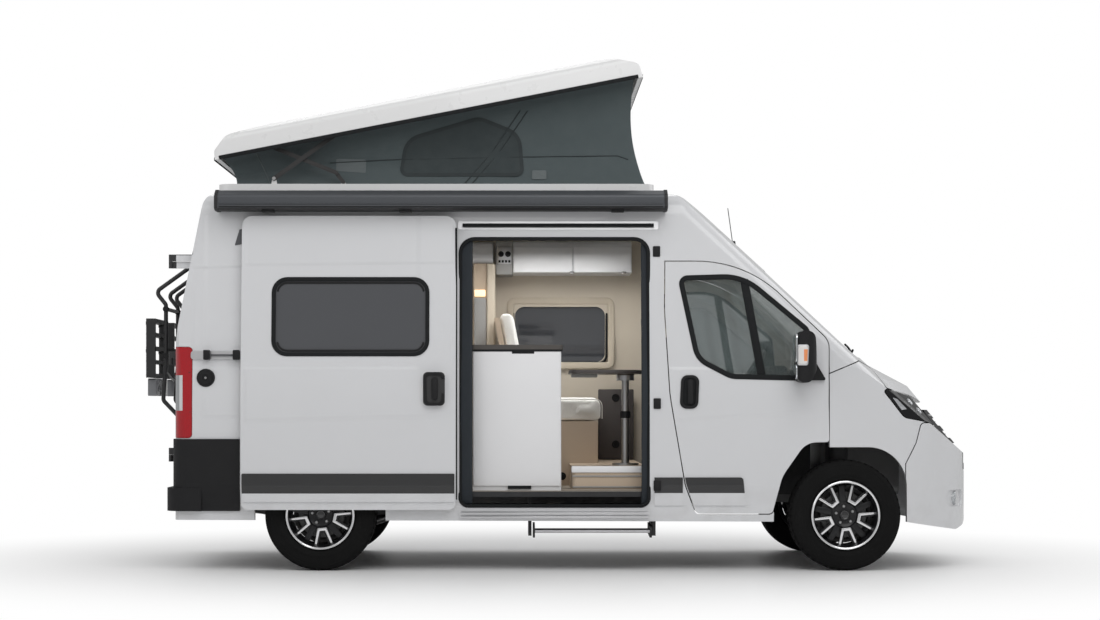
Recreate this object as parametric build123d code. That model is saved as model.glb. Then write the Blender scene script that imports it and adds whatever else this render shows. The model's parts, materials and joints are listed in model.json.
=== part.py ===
from build123d import *
import math
import os

# A medium-length panel van turned into a camper: +X forward, +Z up, +Y to the driver's left.
# The origin is on the ground, under the middle of the overall length. Millimetres.

# ---------------------------------------------------------------- driving dimensions
FRONT_AXLE_X = 1852
WHEELBASE = 3450
FRONT_OVERHANG = 948
TAIL_OVERHANG = 957           # rear axle to the rear sheet metal, at the belt
REAR_AXLE_X = FRONT_AXLE_X - WHEELBASE
NOSE_X = FRONT_AXLE_X + FRONT_OVERHANG
TAIL_X = REAR_AXLE_X - TAIL_OVERHANG

HALF_WIDTH = 1025
ROOF_Z = 2530
COWL = (FRONT_AXLE_X + 228, 1395)     # foot of the windscreen, on the centre line
HEADER = (FRONT_AXLE_X - 702, 2247)   # a point high on the windscreen's line
BONNET_LIP = (FRONT_AXLE_X + 568, 1215)
WALL = 48                     # a whole wall or door, skin to lining
SEAM = 7                      # gap between two panels
PILLAR_ROUND = 90             # rounding of the windscreen pillars
PANE = 6                      # glass thickness
PANE_SET = 10                 # glass face, in from the skin
RELIEF = 8                    # rub strips stand this far proud of the skin
FLOOR_Z = 524                 # top of the floor
FLOOR_THICK = 40
SILL_Z = 334

TYRE_R = 365
TYRE_WIDTH = 225
RIM_R = 221
FRONT_TRACK = 1810
REAR_TRACK = 1790
KINGPIN_Y = 820
STEER_DEG = 35

RACK_TUBE_R = 14
HINGE_R = 13
HINGE_GAP = 1


# ---------------------------------------------------------------- building helpers
def outline(corners, place):
    """Face from (u, v, corner radius) rows; place maps (u, v) to a point in space."""
    count = len(corners)
    bends = []
    for i, (u, v, radius) in enumerate(corners):
        before, after = corners[i - 1], corners[(i + 1) % count]
        if radius <= 0:
            bends.append([(u, v)])
            continue
        back = math.hypot(before[0] - u, before[1] - v)
        ahead = math.hypot(after[0] - u, after[1] - v)
        a = ((before[0] - u) / back, (before[1] - v) / back)
        b = ((after[0] - u) / ahead, (after[1] - v) / ahead)
        half = math.acos(max(-1, min(1, a[0] * b[0] + a[1] * b[1]))) / 2
        reach = radius / math.tan(half)
        middle = (a[0] + b[0], a[1] + b[1])
        size = math.hypot(*middle)
        near = radius / math.sin(half) - radius
        bends.append([
            (u + a[0] * reach, v + a[1] * reach),
            (u + middle[0] / size * near, v + middle[1] / size * near),
            (u + b[0] * reach, v + b[1] * reach),
        ])
    edges = []
    for i, bend in enumerate(bends):
        if len(bend) == 3:
            edges.append(ThreePointArc(*[place(*point) for point in bend]))
        start, end = bend[-1], bends[(i + 1) % count][0]
        if math.dist(start, end) > 1e-6:
            edges.append(Line(place(*start), place(*end)))
    return Face(Wire(edges))


def prism(corners, axis, low, high):
    """Solid along one axis: "X" rows are (y, z, radius), "Y" (x, z, radius), "Z" (x, y, radius)."""
    place, way = {
        "X": (lambda u, v: (low, u, v), (1, 0, 0)),
        "Y": (lambda u, v: (u, low, v), (0, 1, 0)),
        "Z": (lambda u, v: (u, v, low), (0, 0, 1)),
    }[axis]
    return extrude(outline(corners, place), amount=high - low, dir=way)


def inset(corners, amount):
    """The same outline with every side moved in by amount, or out if it is negative."""
    count = len(corners)
    turn = sum(
        corners[i - 1][0] * corners[i][1] - corners[i][0] * corners[i - 1][1]
        for i in range(count)
    )
    side = 1 if turn > 0 else -1
    moved = []
    for i, (u, v, radius) in enumerate(corners):
        before, after = corners[i - 1], corners[(i + 1) % count]
        d0 = (u - before[0], v - before[1])
        d1 = (after[0] - u, after[1] - v)
        l0, l1 = math.hypot(*d0), math.hypot(*d1)
        d0 = (d0[0] / l0, d0[1] / l0)
        d1 = (d1[0] / l1, d1[1] / l1)
        n0 = (-d0[1] * side, d0[0] * side)
        n1 = (-d1[1] * side, d1[0] * side)
        share = amount / (1 + n0[0] * n1[0] + n0[1] * n1[1])
        convex = (d0[0] * d1[1] - d0[1] * d1[0]) * side > 0
        bend = max(radius - amount, 0) if convex else radius + amount
        bend = bend if radius > 0 else 0
        moved.append((u + (n0[0] + n1[0]) * share, v + (n0[1] + n1[1]) * share, bend))
    return moved


def shifted(corners, du, dv=0):
    """The same outline moved by (du, dv)."""
    return [(u + du, v + dv, radius) for u, v, radius in corners]


def block(x, y, z):
    """Box between two x, two y and two z."""
    low = [min(pair) for pair in (x, y, z)]
    size = [abs(pair[1] - pair[0]) for pair in (x, y, z)]
    return Pos(*low) * Box(*size, align=(Align.MIN, Align.MIN, Align.MIN))


def rounded_block(x, y, z, axis, radius):
    """Box whose four edges along one axis are rounded."""
    spans = {"X": (y, z, x), "Y": (x, z, y), "Z": (x, y, z)}[axis]
    (u0, u1), (v0, v1), (low, high) = spans
    corners = [(u0, v0, radius), (u1, v0, radius), (u1, v1, radius), (u0, v1, radius)]
    return prism(corners, axis, low, high)


def pin(start, end, radius):
    """Round bar between two points."""
    way = Vector(*end) - Vector(*start)
    return extrude(Plane(origin=start, z_dir=way) * Circle(radius), amount=way.length)


def rod(points, radius, bend):
    """Round bar along straight runs joined by bends of one radius."""
    path = FilletPolyline(*points, radius=bend) if len(points) > 2 else Line(*points)
    return sweep(Plane(origin=path @ 0, z_dir=path % 0) * Circle(radius), path=path)


def both_sides(solid):
    """A solid and its mirror image across the van's centre plane."""
    return solid + mirror(solid, about=Plane.XZ)


def mirrored(solid):
    """The mirror image of a solid across the van's centre plane."""
    return mirror(solid, about=Plane.XZ)


# ---------------------------------------------------------------- body envelope
# Side view (x, z, radius), from the lower rear corner, forward and round over the roof.
# The first three corners are the open underside.
SIDE = [
    (TAIL_X, SILL_Z, 0),
    (FRONT_AXLE_X + 400, SILL_Z - 14, 0),
    (NOSE_X - 160, 255, 30),
    (NOSE_X - 30, 300, 40),
    (NOSE_X, 390, 40),
    (NOSE_X, 510, 20),
    (NOSE_X - 25, 545, 20),
    (NOSE_X - 35, 690, 80),
    (NOSE_X - 100, 880, 60),
    (NOSE_X - 240, 1060, 150),
    (*BONNET_LIP, 150),
    (*COWL, 0),
    (*HEADER, 1200),
    (FRONT_AXLE_X - 1152, ROOF_Z, 650),
    (TAIL_X + 195, ROOF_Z, 150),
    (TAIL_X + 170, ROOF_Z - 130, 0),
    (TAIL_X, 1500, 1200),
]
# Cross section (y, z, radius). The first two corners are the open underside.
SECTION = [
    (45 - HALF_WIDTH, 200, 0),
    (HALF_WIDTH - 45, 200, 0),
    (HALF_WIDTH - 20, 430, 0),
    (HALF_WIDTH, 560, 60),
    (HALF_WIDTH, 1150, 2000),
    (HALF_WIDTH - 100, ROOF_Z - 45, 150),
    (0, ROOF_Z, 5000),
    (100 - HALF_WIDTH, ROOF_Z - 45, 150),
    (-HALF_WIDTH, 1150, 2000),
    (-HALF_WIDTH, 560, 60),
    (20 - HALF_WIDTH, 430, 0),
]
# Plan (x, y, radius). Its sides stay just outside the section's, so that the section shapes them.
PLAN_Y = HALF_WIDTH + 4
PLAN = [
    (TAIL_X - 5, -PLAN_Y, 110),
    (FRONT_AXLE_X - 152, -PLAN_Y, 3000),
    (FRONT_AXLE_X + 498, 65 - HALF_WIDTH, 450),
    (NOSE_X - 110, 385 - HALF_WIDTH, 450),
    (NOSE_X + 50, 0, 1500),
    (NOSE_X - 110, HALF_WIDTH - 385, 450),
    (FRONT_AXLE_X + 498, HALF_WIDTH - 65, 450),
    (FRONT_AXLE_X - 152, PLAN_Y, 3000),
    (TAIL_X - 5, PLAN_Y, 110),
]
REACH = 6000                  # how far a crowned surface runs on past its two ends
OPEN_BELOW = 400              # how far an inner envelope runs out through the bottom


def crowned(low, high, radius, half, depth, amount):
    """What lies under a cylinder whose middle line runs from low to high in side view."""
    along = Vector(high[0] - low[0], 0, high[1] - low[1]).normalized()
    up = Vector(-along.Z, 0, along.X)
    up = up if up.Z > 0 else -up
    radius -= amount
    sag = radius - math.sqrt(radius**2 - half**2)
    base = Vector(low[0], 0, low[1]) - along * REACH - up * amount

    def at(y, off):
        return base + up * off + Vector(0, y, 0)

    section = Wire([
        ThreePointArc(at(-half, -sag), at(0, 0), at(half, -sag)),
        Line(at(half, -sag), at(half, -depth)),
        Line(at(half, -depth), at(-half, -depth)),
        Line(at(-half, -depth), at(-half, -sag)),
    ])
    length = math.dist(low, high) + 2 * REACH
    return extrude(Face(section), amount=length, dir=along)


def envelope(amount):
    """The van's body, moved in by amount. Inner ones run out through the bottom."""
    drop = OPEN_BELOW if amount > 0 else 0
    side, section = inset(SIDE, amount), inset(SECTION, amount)
    for rows, low_corners in ((side, 3), (section, 2)):
        for i in range(low_corners):
            u, v, radius = rows[i]
            rows[i] = (u, v - drop, radius)
    body = (
        prism(side, "Y", -1200, 1200)
        & prism(section, "X", -4000, 4000)
        & prism(inset(PLAN, amount), "Z", -300, 2700)
    )
    nose_low = (NOSE_X - 100, 880)
    cab = body & crowned(COWL, HEADER, 4500, 1100, REACH, amount)
    nose = (
        body
        & crowned(BONNET_LIP, COWL, 3200, 1100, REACH, amount)
        & crowned(nose_low, BONNET_LIP, 1600, 1050, REACH, amount)
    )
    whole = cab + nose
    pillars = [
        edge for edge in whole.edges()
        if edge.bounding_box().size.X > 700
        and edge.bounding_box().size.Z > 700
        and edge.bounding_box().min.X > FRONT_AXLE_X - 1150
    ]
    return whole.fillet(PILLAR_ROUND - amount, pillars)


OUTER = envelope(0)
INNER = envelope(WALL)
SKIN = OUTER - INNER
GLASS = envelope(PANE_SET) - envelope(PANE_SET + PANE)
RAISED = envelope(-RELIEF) - OUTER

# ---------------------------------------------------------------- panel outlines, side view
# Rows are (x from the front axle, z, radius).
CAB_DOOR = shifted([
    (-1180, 2033, 0),
    (-652, 2033, 800),
    (-110, 1512, 110),
    (-114, 1121, 0),
    (-109, 846, 20),
    (-262, 842, 130),
    (-418, 620, 250),
    (-480, SILL_Z + 41, 30),
    (-977, SILL_Z + 41, 40),
    (-1050, 560, 260),
    (-1150, 1150, 900),
    (-1184, 1712, 0),
], FRONT_AXLE_X)
CAB_GLASS = shifted([
    (-1084, 1925, 40),
    (-672, 1938, 350),
    (-250, 1585, 60),
    (-215, 1262, 40),
    (-752, 1275, 150),
    (-972, 1390, 150),
], FRONT_AXLE_X)
WHEEL_ARCH = [
    (-465, -20, 0),
    (-460, 296, 0),
    (-345, 812, 190),
    (410, 812, 260),
    (410, -20, 0),
]
REAR_ARCH = [
    (-430, -20, 0),
    (-430, 812, 300),
    (430, 812, 300),
    (430, -20, 0),
]
LAMP = shifted([
    (248, 1194, 12),
    (493, 1152, 60),
    (720, 1075, 30),
    (830, 930, 20),
    (394, 1010, 60),
], FRONT_AXLE_X)
BUMPER_LINE = shifted([
    (405, 200, 0),
    (405, 700, 0),
    (478, 838, 60),
    (514, 968, 30),
    (1100, 968, 0),
    (1100, 200, 0),
], FRONT_AXLE_X)
SLIDE_OPENING = shifted([
    (-2536, FLOOR_Z - 104, 60),
    (-1286, FLOOR_Z - 104, 60),
    (-1286, 2190, 90),
    (-2536, 2190, 90),
], FRONT_AXLE_X)
SLIDE_DOOR_X = (FRONT_AXLE_X - 2587, FRONT_AXLE_X - 1182)
SLIDE_DOOR = [
    (SLIDE_DOOR_X[0], SILL_Z + 69, 50),
    (SLIDE_DOOR_X[1], SILL_Z + 69, 50),
    (SLIDE_DOOR_X[1], 2331, 70),
    (SLIDE_DOOR_X[0], 2331, 70),
]
SLIDE_DOOR_BACK = 1375        # how far the door stands open
SLIDE_DOOR_OUT = 66           # how far it has swung out to pass the body side
SLIDE_GLASS = [
    (SLIDE_DOOR_X[0] + 211, 1419, 80),
    (SLIDE_DOOR_X[1] - 185, 1419, 80),
    (SLIDE_DOOR_X[1] - 185, 1915, 80),
    (SLIDE_DOOR_X[0] + 211, 1915, 80),
]
LEFT_WINDOW = shifted([
    (-2176, 1409, 70),
    (-1503, 1409, 70),
    (-1503, 1821, 70),
    (-2176, 1821, 70),
], FRONT_AXLE_X)
ROOF_SPLIT_Z = ROOF_Z - 190   # where the roof panel meets the sides
ROOF_FRONT_X = FRONT_AXLE_X - 1152    # where the sides and roof meet the cab's pressing


def right(corners, inner=700):
    """Region over the right-hand wall: everything outboard of inner on the -Y side."""
    return prism(corners, "Y", -1400, -inner)


def through(corners):
    """Region that crosses the whole van from side to side."""
    return prism(corners, "Y", -1400, 1400)


FAR = 4000
ARCHES = through(shifted(WHEEL_ARCH, FRONT_AXLE_X)) + through(shifted(REAR_ARCH, REAR_AXLE_X))


# ---------------------------------------------------------------- nose
BONNET = shifted([
    (236, 1500, 0),
    (236, 1306, 15),
    (274, 1203, 15),
    (493, 1161, 60),
    (720, 1084, 20),
    (1100, 1084, 0),
    (1100, 1500, 0),
], FRONT_AXLE_X)


def bonnet():
    """Bonnet panel: the top of the nose, down to the lamps and forward to the grille."""
    return (SKIN & through(BONNET)) - LAMP_SPACE


LAMP_SPACE = prism(inset(LAMP, -SEAM), "Y", 500, 1400) + prism(inset(LAMP, -SEAM), "Y", -1400, -500)


def headlamps():
    """Two swept-back headlamp units, each a full-thickness housing with a clear front."""
    region = prism(LAMP, "Y", 520, 1400)
    return both_sides(SKIN & region)


GRILLE_SLOTS = 4
NOSE_FACE = block((NOSE_X - 300, NOSE_X), (-800, 800), (300, 1200)) & (OUTER - Pos(-16, 0, 0) * OUTER)
GRILLE = [
    (-500, 640, 60),
    (500, 640, 60),
    (560, 900, 40),
    (470, 1062, 60),
    (-470, 1062, 60),
    (-560, 900, 40),
]


def grille():
    """Black grille: a surround with broad slats in front of a closed back."""
    region = prism(inset(GRILLE, SEAM), "X", NOSE_X - 330, NOSE_X + 50)
    frame = SKIN & region
    for i in range(GRILLE_SLOTS):
        low = 690 + i * 85
        half = 430 - 8 * i
        slot = [(-half, low, 15), (half, low, 15), (half, low + 52, 15), (-half, low + 52, 15)]
        frame -= prism(slot, "X", NOSE_X - 330, NOSE_X + 50) & NOSE_FACE
    return frame


def front_bumper():
    """Full-width body-coloured bumper, up to the lamps, with the grille cut out of it."""
    piece = SKIN & through(BUMPER_LINE)
    piece -= prism(GRILLE, "X", NOSE_X - 400, NOSE_X + 50)
    piece -= through(shifted(WHEEL_ARCH, FRONT_AXLE_X))
    piece -= LAMP_SPACE
    intake = [(-360, 330, 30), (360, 330, 30), (330, 430, 30), (-330, 430, 30)]
    piece -= prism(intake, "X", NOSE_X - 300, NOSE_X + 50) & NOSE_FACE
    fog = [(560, 410, 40), (760, 410, 40), (760, 520, 40), (560, 520, 40)]
    piece -= both_sides(prism(fog, "X", NOSE_X - 500, NOSE_X + 50)) & NOSE_FACE
    return piece


FENDER = shifted([
    (-106, 300, 0), (-106, 1292, 0), (98, 1377, 0), (260, 1320, 0), (1100, 1320, 0), (1100, 300, 0),
], FRONT_AXLE_X)


def fenders():
    """Front wings with the wheel arches, from the cab doors to the bumper."""
    piece = SKIN & through(FENDER)
    piece -= through(inset(BUMPER_LINE, -SEAM)) + through(inset(BONNET, -SEAM))
    piece -= LAMP_SPACE
    piece -= ARCHES
    return both_sides(piece & block((-FAR, FAR), (-1200, -500), (0, 1500)))


# ---------------------------------------------------------------- cab
SCREEN = [
    (-862, COWL[1] + 12, 70),
    (862, COWL[1] + 12, 70),
    (738, 2000, 90),
    (-738, 2000, 90),
]


def cab_shell():
    """Windscreen pillars, cowl and the tall forehead over the cab, in one pressing."""
    piece = SKIN & block((ROOF_FRONT_X, FAR), (-1100, 1100), (1200, 2700))
    piece -= through(inset(FENDER, -SEAM)) + through(inset(BONNET, -SEAM))
    piece -= through(inset(CAB_DOOR, -SEAM))
    piece -= prism(SCREEN, "X", FRONT_AXLE_X - 700, FRONT_AXLE_X + 400)
    return piece


def windscreen():
    """Laminated screen, set just inside the skin."""
    return GLASS & prism(SCREEN, "X", FRONT_AXLE_X - 700, FRONT_AXLE_X + 400)


def cab_door():
    """Right-hand cab door with its window cut and its part of the rub strip."""
    door = SKIN & right(CAB_DOOR)
    door -= right(CAB_GLASS)
    strip = RAISED & right(inset(CAB_DOOR, 4)) & right(RUB_STRIP)
    return door + strip


RUB_STRIP = shifted([
    (-1240, 429, 8), (-655, 429, 8), (-675, 614, 20), (-1240, 614, 8),
], FRONT_AXLE_X)


def cab_glass():
    """Window of the right-hand cab door."""
    return GLASS & right(CAB_GLASS)


MIRROR_Y = 1254


def mirror_unit():
    """Tall door mirror: a rounded housing on a short arm from the foot of the window."""
    x = FRONT_AXLE_X
    housing = prism(
        [
            (x - 345, -MIRROR_Y, 40), (x - 215, -MIRROR_Y, 70),
            (x - 215, -1050, 50), (x - 345, -1050, 20),
        ],
        "Z", 1230, 1578,
    )
    housing = housing & prism(
        [
            (x - 352, 1240, 50), (x - 262, 1230, 50),
            (x - 208, 1330, 90), (x - 226, 1560, 60), (x - 330, 1578, 40),
        ],
        "Y", -1300, -1000,
    )
    foot = right(
        [(x - 352, 1250, 6), (x - 130, 1250, 10), (x - 240, 1440, 30)], 800
    ) & (envelope_side(26))
    arm = rounded_block((x - 290, x - 230), (-1090, -985), (1275, 1345), "Y", 22) - OUTER
    return housing + foot + arm


def envelope_side(reach):
    """A layer over the right-hand side, reach thick, lying on the skin."""
    return Pos(0, -reach, 0) * OUTER - OUTER


# ---------------------------------------------------------------- sides and roof
REAR_DOOR_TOP = ROOF_SPLIT_Z - SEAM
REAR_DOOR_LOW = 560
REAR_DOOR_SPLIT = 7           # half the gap between the two rear doors
REAR_DOOR_EDGE = 868
REAR_DOOR = [
    (REAR_DOOR_SPLIT, REAR_DOOR_LOW, 30),
    (REAR_DOOR_EDGE, REAR_DOOR_LOW, 30),
    (REAR_DOOR_EDGE, REAR_DOOR_TOP, 60),
    (REAR_DOOR_SPLIT, REAR_DOOR_TOP, 30),
]
REAR_GLASS = [
    (150, 1440, 60),
    (740, 1440, 60),
    (725, 1990, 60),
    (150, 1990, 60),
]
REAR_FRAME = [
    (-REAR_DOOR_EDGE - SEAM, -10, 0),
    (REAR_DOOR_EDGE + SEAM, -10, 0),
    (REAR_DOOR_EDGE + SEAM, ROOF_SPLIT_Z + 10, 0),
    (-REAR_DOOR_EDGE - SEAM, ROOF_SPLIT_Z + 10, 0),
]
TAIL_LAMP = [
    (TAIL_X - 60, 873, 0),
    (TAIL_X + 118, 873, 25),
    (TAIL_X + 118, 1469, 25),
    (TAIL_X - 60, 1469, 0),
]
TAIL_LAMP_INNER_Y = 925
REAR_CORNER_TOP = 866


def side_shell():
    """Right-hand wall with its sill and rear corner, before the doorway or window is cut."""
    zone = block((-FAR, ROOF_FRONT_X), (-1100, 0), (0, ROOF_SPLIT_Z))
    zone += block((-FAR, FRONT_AXLE_X - 470), (-1100, 0), (0, 1194))
    piece = SKIN & zone
    piece -= through(inset(CAB_DOOR, -SEAM))
    piece -= prism(REAR_FRAME, "X", -FAR, TAIL_X + 300)
    return piece - ARCHES - TAIL_LAMP_SPACE


TAIL_LAMP_SPACE = (
    prism(inset(TAIL_LAMP, -3), "Y", -1400, -TAIL_LAMP_INNER_Y)
    + prism(inset(TAIL_LAMP, -3), "Y", TAIL_LAMP_INNER_Y, 1400)
)


def side_right():
    """Right-hand wall, with the doorway that the sliding door uncovers."""
    return side_shell() - right(SLIDE_OPENING) + rub_relief() + hinge_ears()


def side_left():
    """Left-hand wall, with the living area's window cut."""
    wall = side_shell() + rub_relief() + hinge_ears()
    return mirrored(wall) - prism(LEFT_WINDOW, "Y", 700, 1400)


SLIDE_OPEN_FRONT = FRONT_AXLE_X - 1286


def rub_relief():
    """The stretch of rub strip on the right-hand pillar between the doors."""
    span = block((SLIDE_OPEN_FRONT + 30, FRONT_AXLE_X - 1070), (-1200, 0), (429, 614))
    return (RAISED & span) - through(inset(CAB_DOOR, -SEAM))


REAR_HINGE_X = TAIL_X - 45
REAR_HINGE_Y = REAR_DOOR_EDGE + SEAM / 2
REAR_HINGE_Z = (760, 1400, 2040)
HINGE_HALF = 45


def hinge_ears():
    """Body halves of the right-hand rear door's hinges: a barrel and a strap into the corner."""
    ears = []
    for z in REAR_HINGE_Z:
        centre = (REAR_HINGE_X, -REAR_HINGE_Y, z)
        barrel = pin(centre, (REAR_HINGE_X, -REAR_HINGE_Y, z + HINGE_HALF), HINGE_R)
        strap = block(
            (REAR_HINGE_X, TAIL_X + 150), (-REAR_HINGE_Y - HINGE_R, -REAR_HINGE_Y - 2), (z, z + HINGE_HALF)
        )
        ears.append(barrel + (strap - INNER))
    return ears[0] + ears[1] + ears[2]


HATCH_X = (TAIL_X + 655, FRONT_AXLE_X - 1502)
HATCH_Y = 560


def roof_panel():
    """Roof from the forehead to the tail, with the hatch into the pop-up roof."""
    piece = SKIN & block((-FAR, ROOF_FRONT_X), (-1100, 1100), (ROOF_SPLIT_Z, FAR))
    return piece - rounded_block(HATCH_X, (-HATCH_Y, HATCH_Y), (2300, 2700), "Z", 60)


def windows():
    """Panes of the left wall's window and of the standing-open sliding door."""
    left = GLASS & prism(LEFT_WINDOW, "Y", 700, 1400)
    door = GLASS & right(SLIDE_GLASS)
    return left + Pos(-SLIDE_DOOR_BACK, -SLIDE_DOOR_OUT, 0) * door


def sliding_door():
    """Sliding door, swung out and run back along its rails to stand open."""
    door = SKIN & right(SLIDE_DOOR)
    door -= right(SLIDE_GLASS)
    strip = RAISED & right([
        (SLIDE_DOOR_X[0] + 8, 455, 8), (SLIDE_DOOR_X[1] - 8, 455, 8),
        (SLIDE_DOOR_X[1] - 8, 641, 8), (SLIDE_DOOR_X[0] + 8, 641, 8),
    ])
    grip = rounded_block(
        (SLIDE_DOOR_X[1] - 212, SLIDE_DOOR_X[1] - 70), (-HALF_WIDTH - 24, -HALF_WIDTH + 30), (1084, 1304), "Y", 30
    )
    whole = door + strip + (grip - INNER)
    return Pos(-SLIDE_DOOR_BACK, -SLIDE_DOOR_OUT, 0) * whole


def tail_lamps():
    """Tall lamp units that wrap the rear corners."""
    region = prism(TAIL_LAMP, "Y", -1400, -TAIL_LAMP_INNER_Y - 3)
    return both_sides(SKIN & region)


BUMPER_BACK = TAIL_X - 58
BUMPER_LOW = 393
CLADDING = 14


def rear_bumper():
    """Black rear bumper that wraps the tail, with tall claddings up the corners."""
    wrap = prism(
        [
            (BUMPER_BACK, -HALF_WIDTH - CLADDING, 120), (TAIL_X + 180, -HALF_WIDTH - CLADDING, 0),
            (TAIL_X + 180, HALF_WIDTH + CLADDING, 0), (BUMPER_BACK, HALF_WIDTH + CLADDING, 120),
        ],
        "Z", BUMPER_LOW, REAR_DOOR_LOW - 15,
    )
    corner = envelope(-CLADDING) & block(
        (-FAR, TAIL_X + 432), (-1200, -REAR_HINGE_Y - 20), (BUMPER_LOW, REAR_CORNER_TOP)
    )
    whole = wrap + corner + mirrored(corner)
    return whole - OUTER - through(shifted(REAR_ARCH, REAR_AXLE_X))


# ---------------------------------------------------------------- rear doors
def rear_door():
    """Right-hand rear door with its window cut and its halves of the hinges."""
    region = mirrored(prism(REAR_DOOR, "X", -FAR, TAIL_X + 300))
    door = SKIN & region
    door -= mirrored(prism(REAR_GLASS, "X", -FAR, TAIL_X + 300))
    for z in REAR_HINGE_Z:
        low, high = z - HINGE_HALF - HINGE_GAP, z - HINGE_GAP
        barrel = pin((REAR_HINGE_X, -REAR_HINGE_Y, low), (REAR_HINGE_X, -REAR_HINGE_Y, high), HINGE_R)
        strap = block(
            (REAR_HINGE_X, TAIL_X + 150), (-REAR_DOOR_EDGE, -REAR_HINGE_Y + HINGE_R + 3), (low, high)
        )
        door += barrel + (strap - INNER)
    return door


def rear_glass():
    """Window pane of the right-hand rear door."""
    return GLASS & mirrored(prism(REAR_GLASS, "X", -FAR, TAIL_X + 300))


RACK_BACK_X = NOSE_X - 5600
RACK_Y = (140, 640)


def rack():
    """Bike rack on the right-hand rear door: two bent posts, cross tubes and a folded cradle."""
    inner, outer = -RACK_Y[0], -RACK_Y[1]
    r, x = RACK_TUBE_R, RACK_BACK_X
    upright = x + 130
    frame = pin((upright, inner, 1735), (upright, outer, 1735), r - 1)
    frame += pin((upright, inner, 1420), (upright, outer, 1420), r - 1)
    for y in (inner, outer):
        post = rod([
            (TAIL_X + 130, y, 2075), (x + 62, y, 1850), (upright, y, 1765), (upright, y, 1400),
            (upright - 18, y, 1120), (TAIL_X + 20, y, 960),
        ], r, 34)
        frame += post - OUTER
        frame += block((x + 52, upright), (y - 9, y + 9), (1452, 1478))
    cradle = block((x, x + 60), (outer - 22, inner + 22), (1273, 1671))
    for i in range(CRADLE_SLOTS):
        low = 1300 + i * 92
        cradle -= rounded_block((x - 5, x + 65), (outer + 14, inner - 14), (low, low + 68), "X", 12)
    return frame + cradle


CRADLE_SLOTS = 4


# ---------------------------------------------------------------- underbody
BULKHEAD_X = FRONT_AXLE_X - 210
HOUSING_Y = 570               # inner wall of the front wheel housings
REAR_HOUSING_Y = 740
HOUSING_R = 430


def cabin_room():
    """The space inside the walls, up to the belt."""
    return INNER & block((-FAR, FAR), (-1100, 1100), (0, 2300))


def underbody():
    """Floor pan with the rear wheel housings and the rear valance."""
    under = FLOOR_Z - FLOOR_THICK
    room = cabin_room()
    pan = block((-FAR, CAB_STEP_X), (-1100, 1100), (under, FLOOR_Z)) & room
    well_z = TYRE_R + 20
    for side in (-1, 1):
        centre = (REAR_AXLE_X, side * REAR_HOUSING_Y, well_z)
        lining = (REAR_AXLE_X, side * (REAR_HOUSING_Y + 12), well_z)
        out = (REAR_AXLE_X, side * 1100, well_z)
        drum = pin(centre, out, HOUSING_R + 12) - pin(lining, out, HOUSING_R)
        drum -= block((-FAR, FAR), (-1100, 1100), (-200, under))
        pan = pan - pin(centre, out, HOUSING_R + 12) + (drum & room)
    valance = SKIN & block((-FAR, TAIL_X + 100), (-REAR_DOOR_EDGE, REAR_DOOR_EDGE), (0, REAR_DOOR_LOW - SEAM))
    shelf = room & block((-FAR, TAIL_X + 80), (-REAR_DOOR_EDGE, REAR_DOOR_EDGE), (under, FLOOR_Z))
    return pan + valance + shelf


def cab_floor():
    """Front of the cab floor: the seat step, the shelf over the wheel housings and the bulkhead."""
    under = FLOOR_Z - FLOOR_THICK
    front = BULKHEAD_X + 30
    shell = block((CAB_STEP_X, CAB_STEP_X + 20), (-1100, 1100), (under, CAB_SHELF_Z + 20))
    shell += block((CAB_STEP_X + 20, BULKHEAD_X), (-1100, 1100), (CAB_SHELF_Z, CAB_SHELF_Z + 20))
    shell += block((BULKHEAD_X, front), (-1100, 1100), (CAB_SHELF_Z, 1245))
    shell += block((CAB_STEP_X, front), (-HOUSING_Y, HOUSING_Y), (under, CAB_SHELF_Z + 20))
    shell -= block((CAB_STEP_X - 20, BULKHEAD_X), (20 - HOUSING_Y, HOUSING_Y - 20), (FLOOR_Z, 1300))
    return shell & cabin_room()


def chassis():
    """Two rails with their cross members and the entry step's housing, under the floor."""
    under = FLOOR_Z - FLOOR_THICK
    frame = step_rails()
    for y in (-RAIL_Y - 30, RAIL_Y - 30):
        frame += block((TAIL_X + 70, FRONT_AXLE_X - 600), (y, y + 60), (under - RAIL_DEEP, under))
    for cross in (TAIL_X + 260, REAR_AXLE_X + 640, FRONT_AXLE_X - 1900, FRONT_AXLE_X - 1000):
        frame += block((cross, cross + 70), (30 - RAIL_Y, RAIL_Y - 30), (under - 60, under))
    return frame


CAB_STEP_X = FRONT_AXLE_X - 480
CAB_SHELF_Z = 860
RAIL_Y = 425                  # middle of each chassis rail
RAIL_DEEP = 64


def engine():
    """Engine and gearbox as one plain mass at their real place."""
    block_part = rounded_block((FRONT_AXLE_X - 60, FRONT_AXLE_X + 480), (-270, 270), (470, 1080), "X", 60)
    gearbox = prism(
        [(FRONT_AXLE_X - 700, 430, 40), (FRONT_AXLE_X - 60, 400, 20),
         (FRONT_AXLE_X - 60, 480, 0), (FRONT_AXLE_X - 700, 480, 0)],
        "Y", -120, 120,
    )
    return block_part + gearbox


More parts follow.
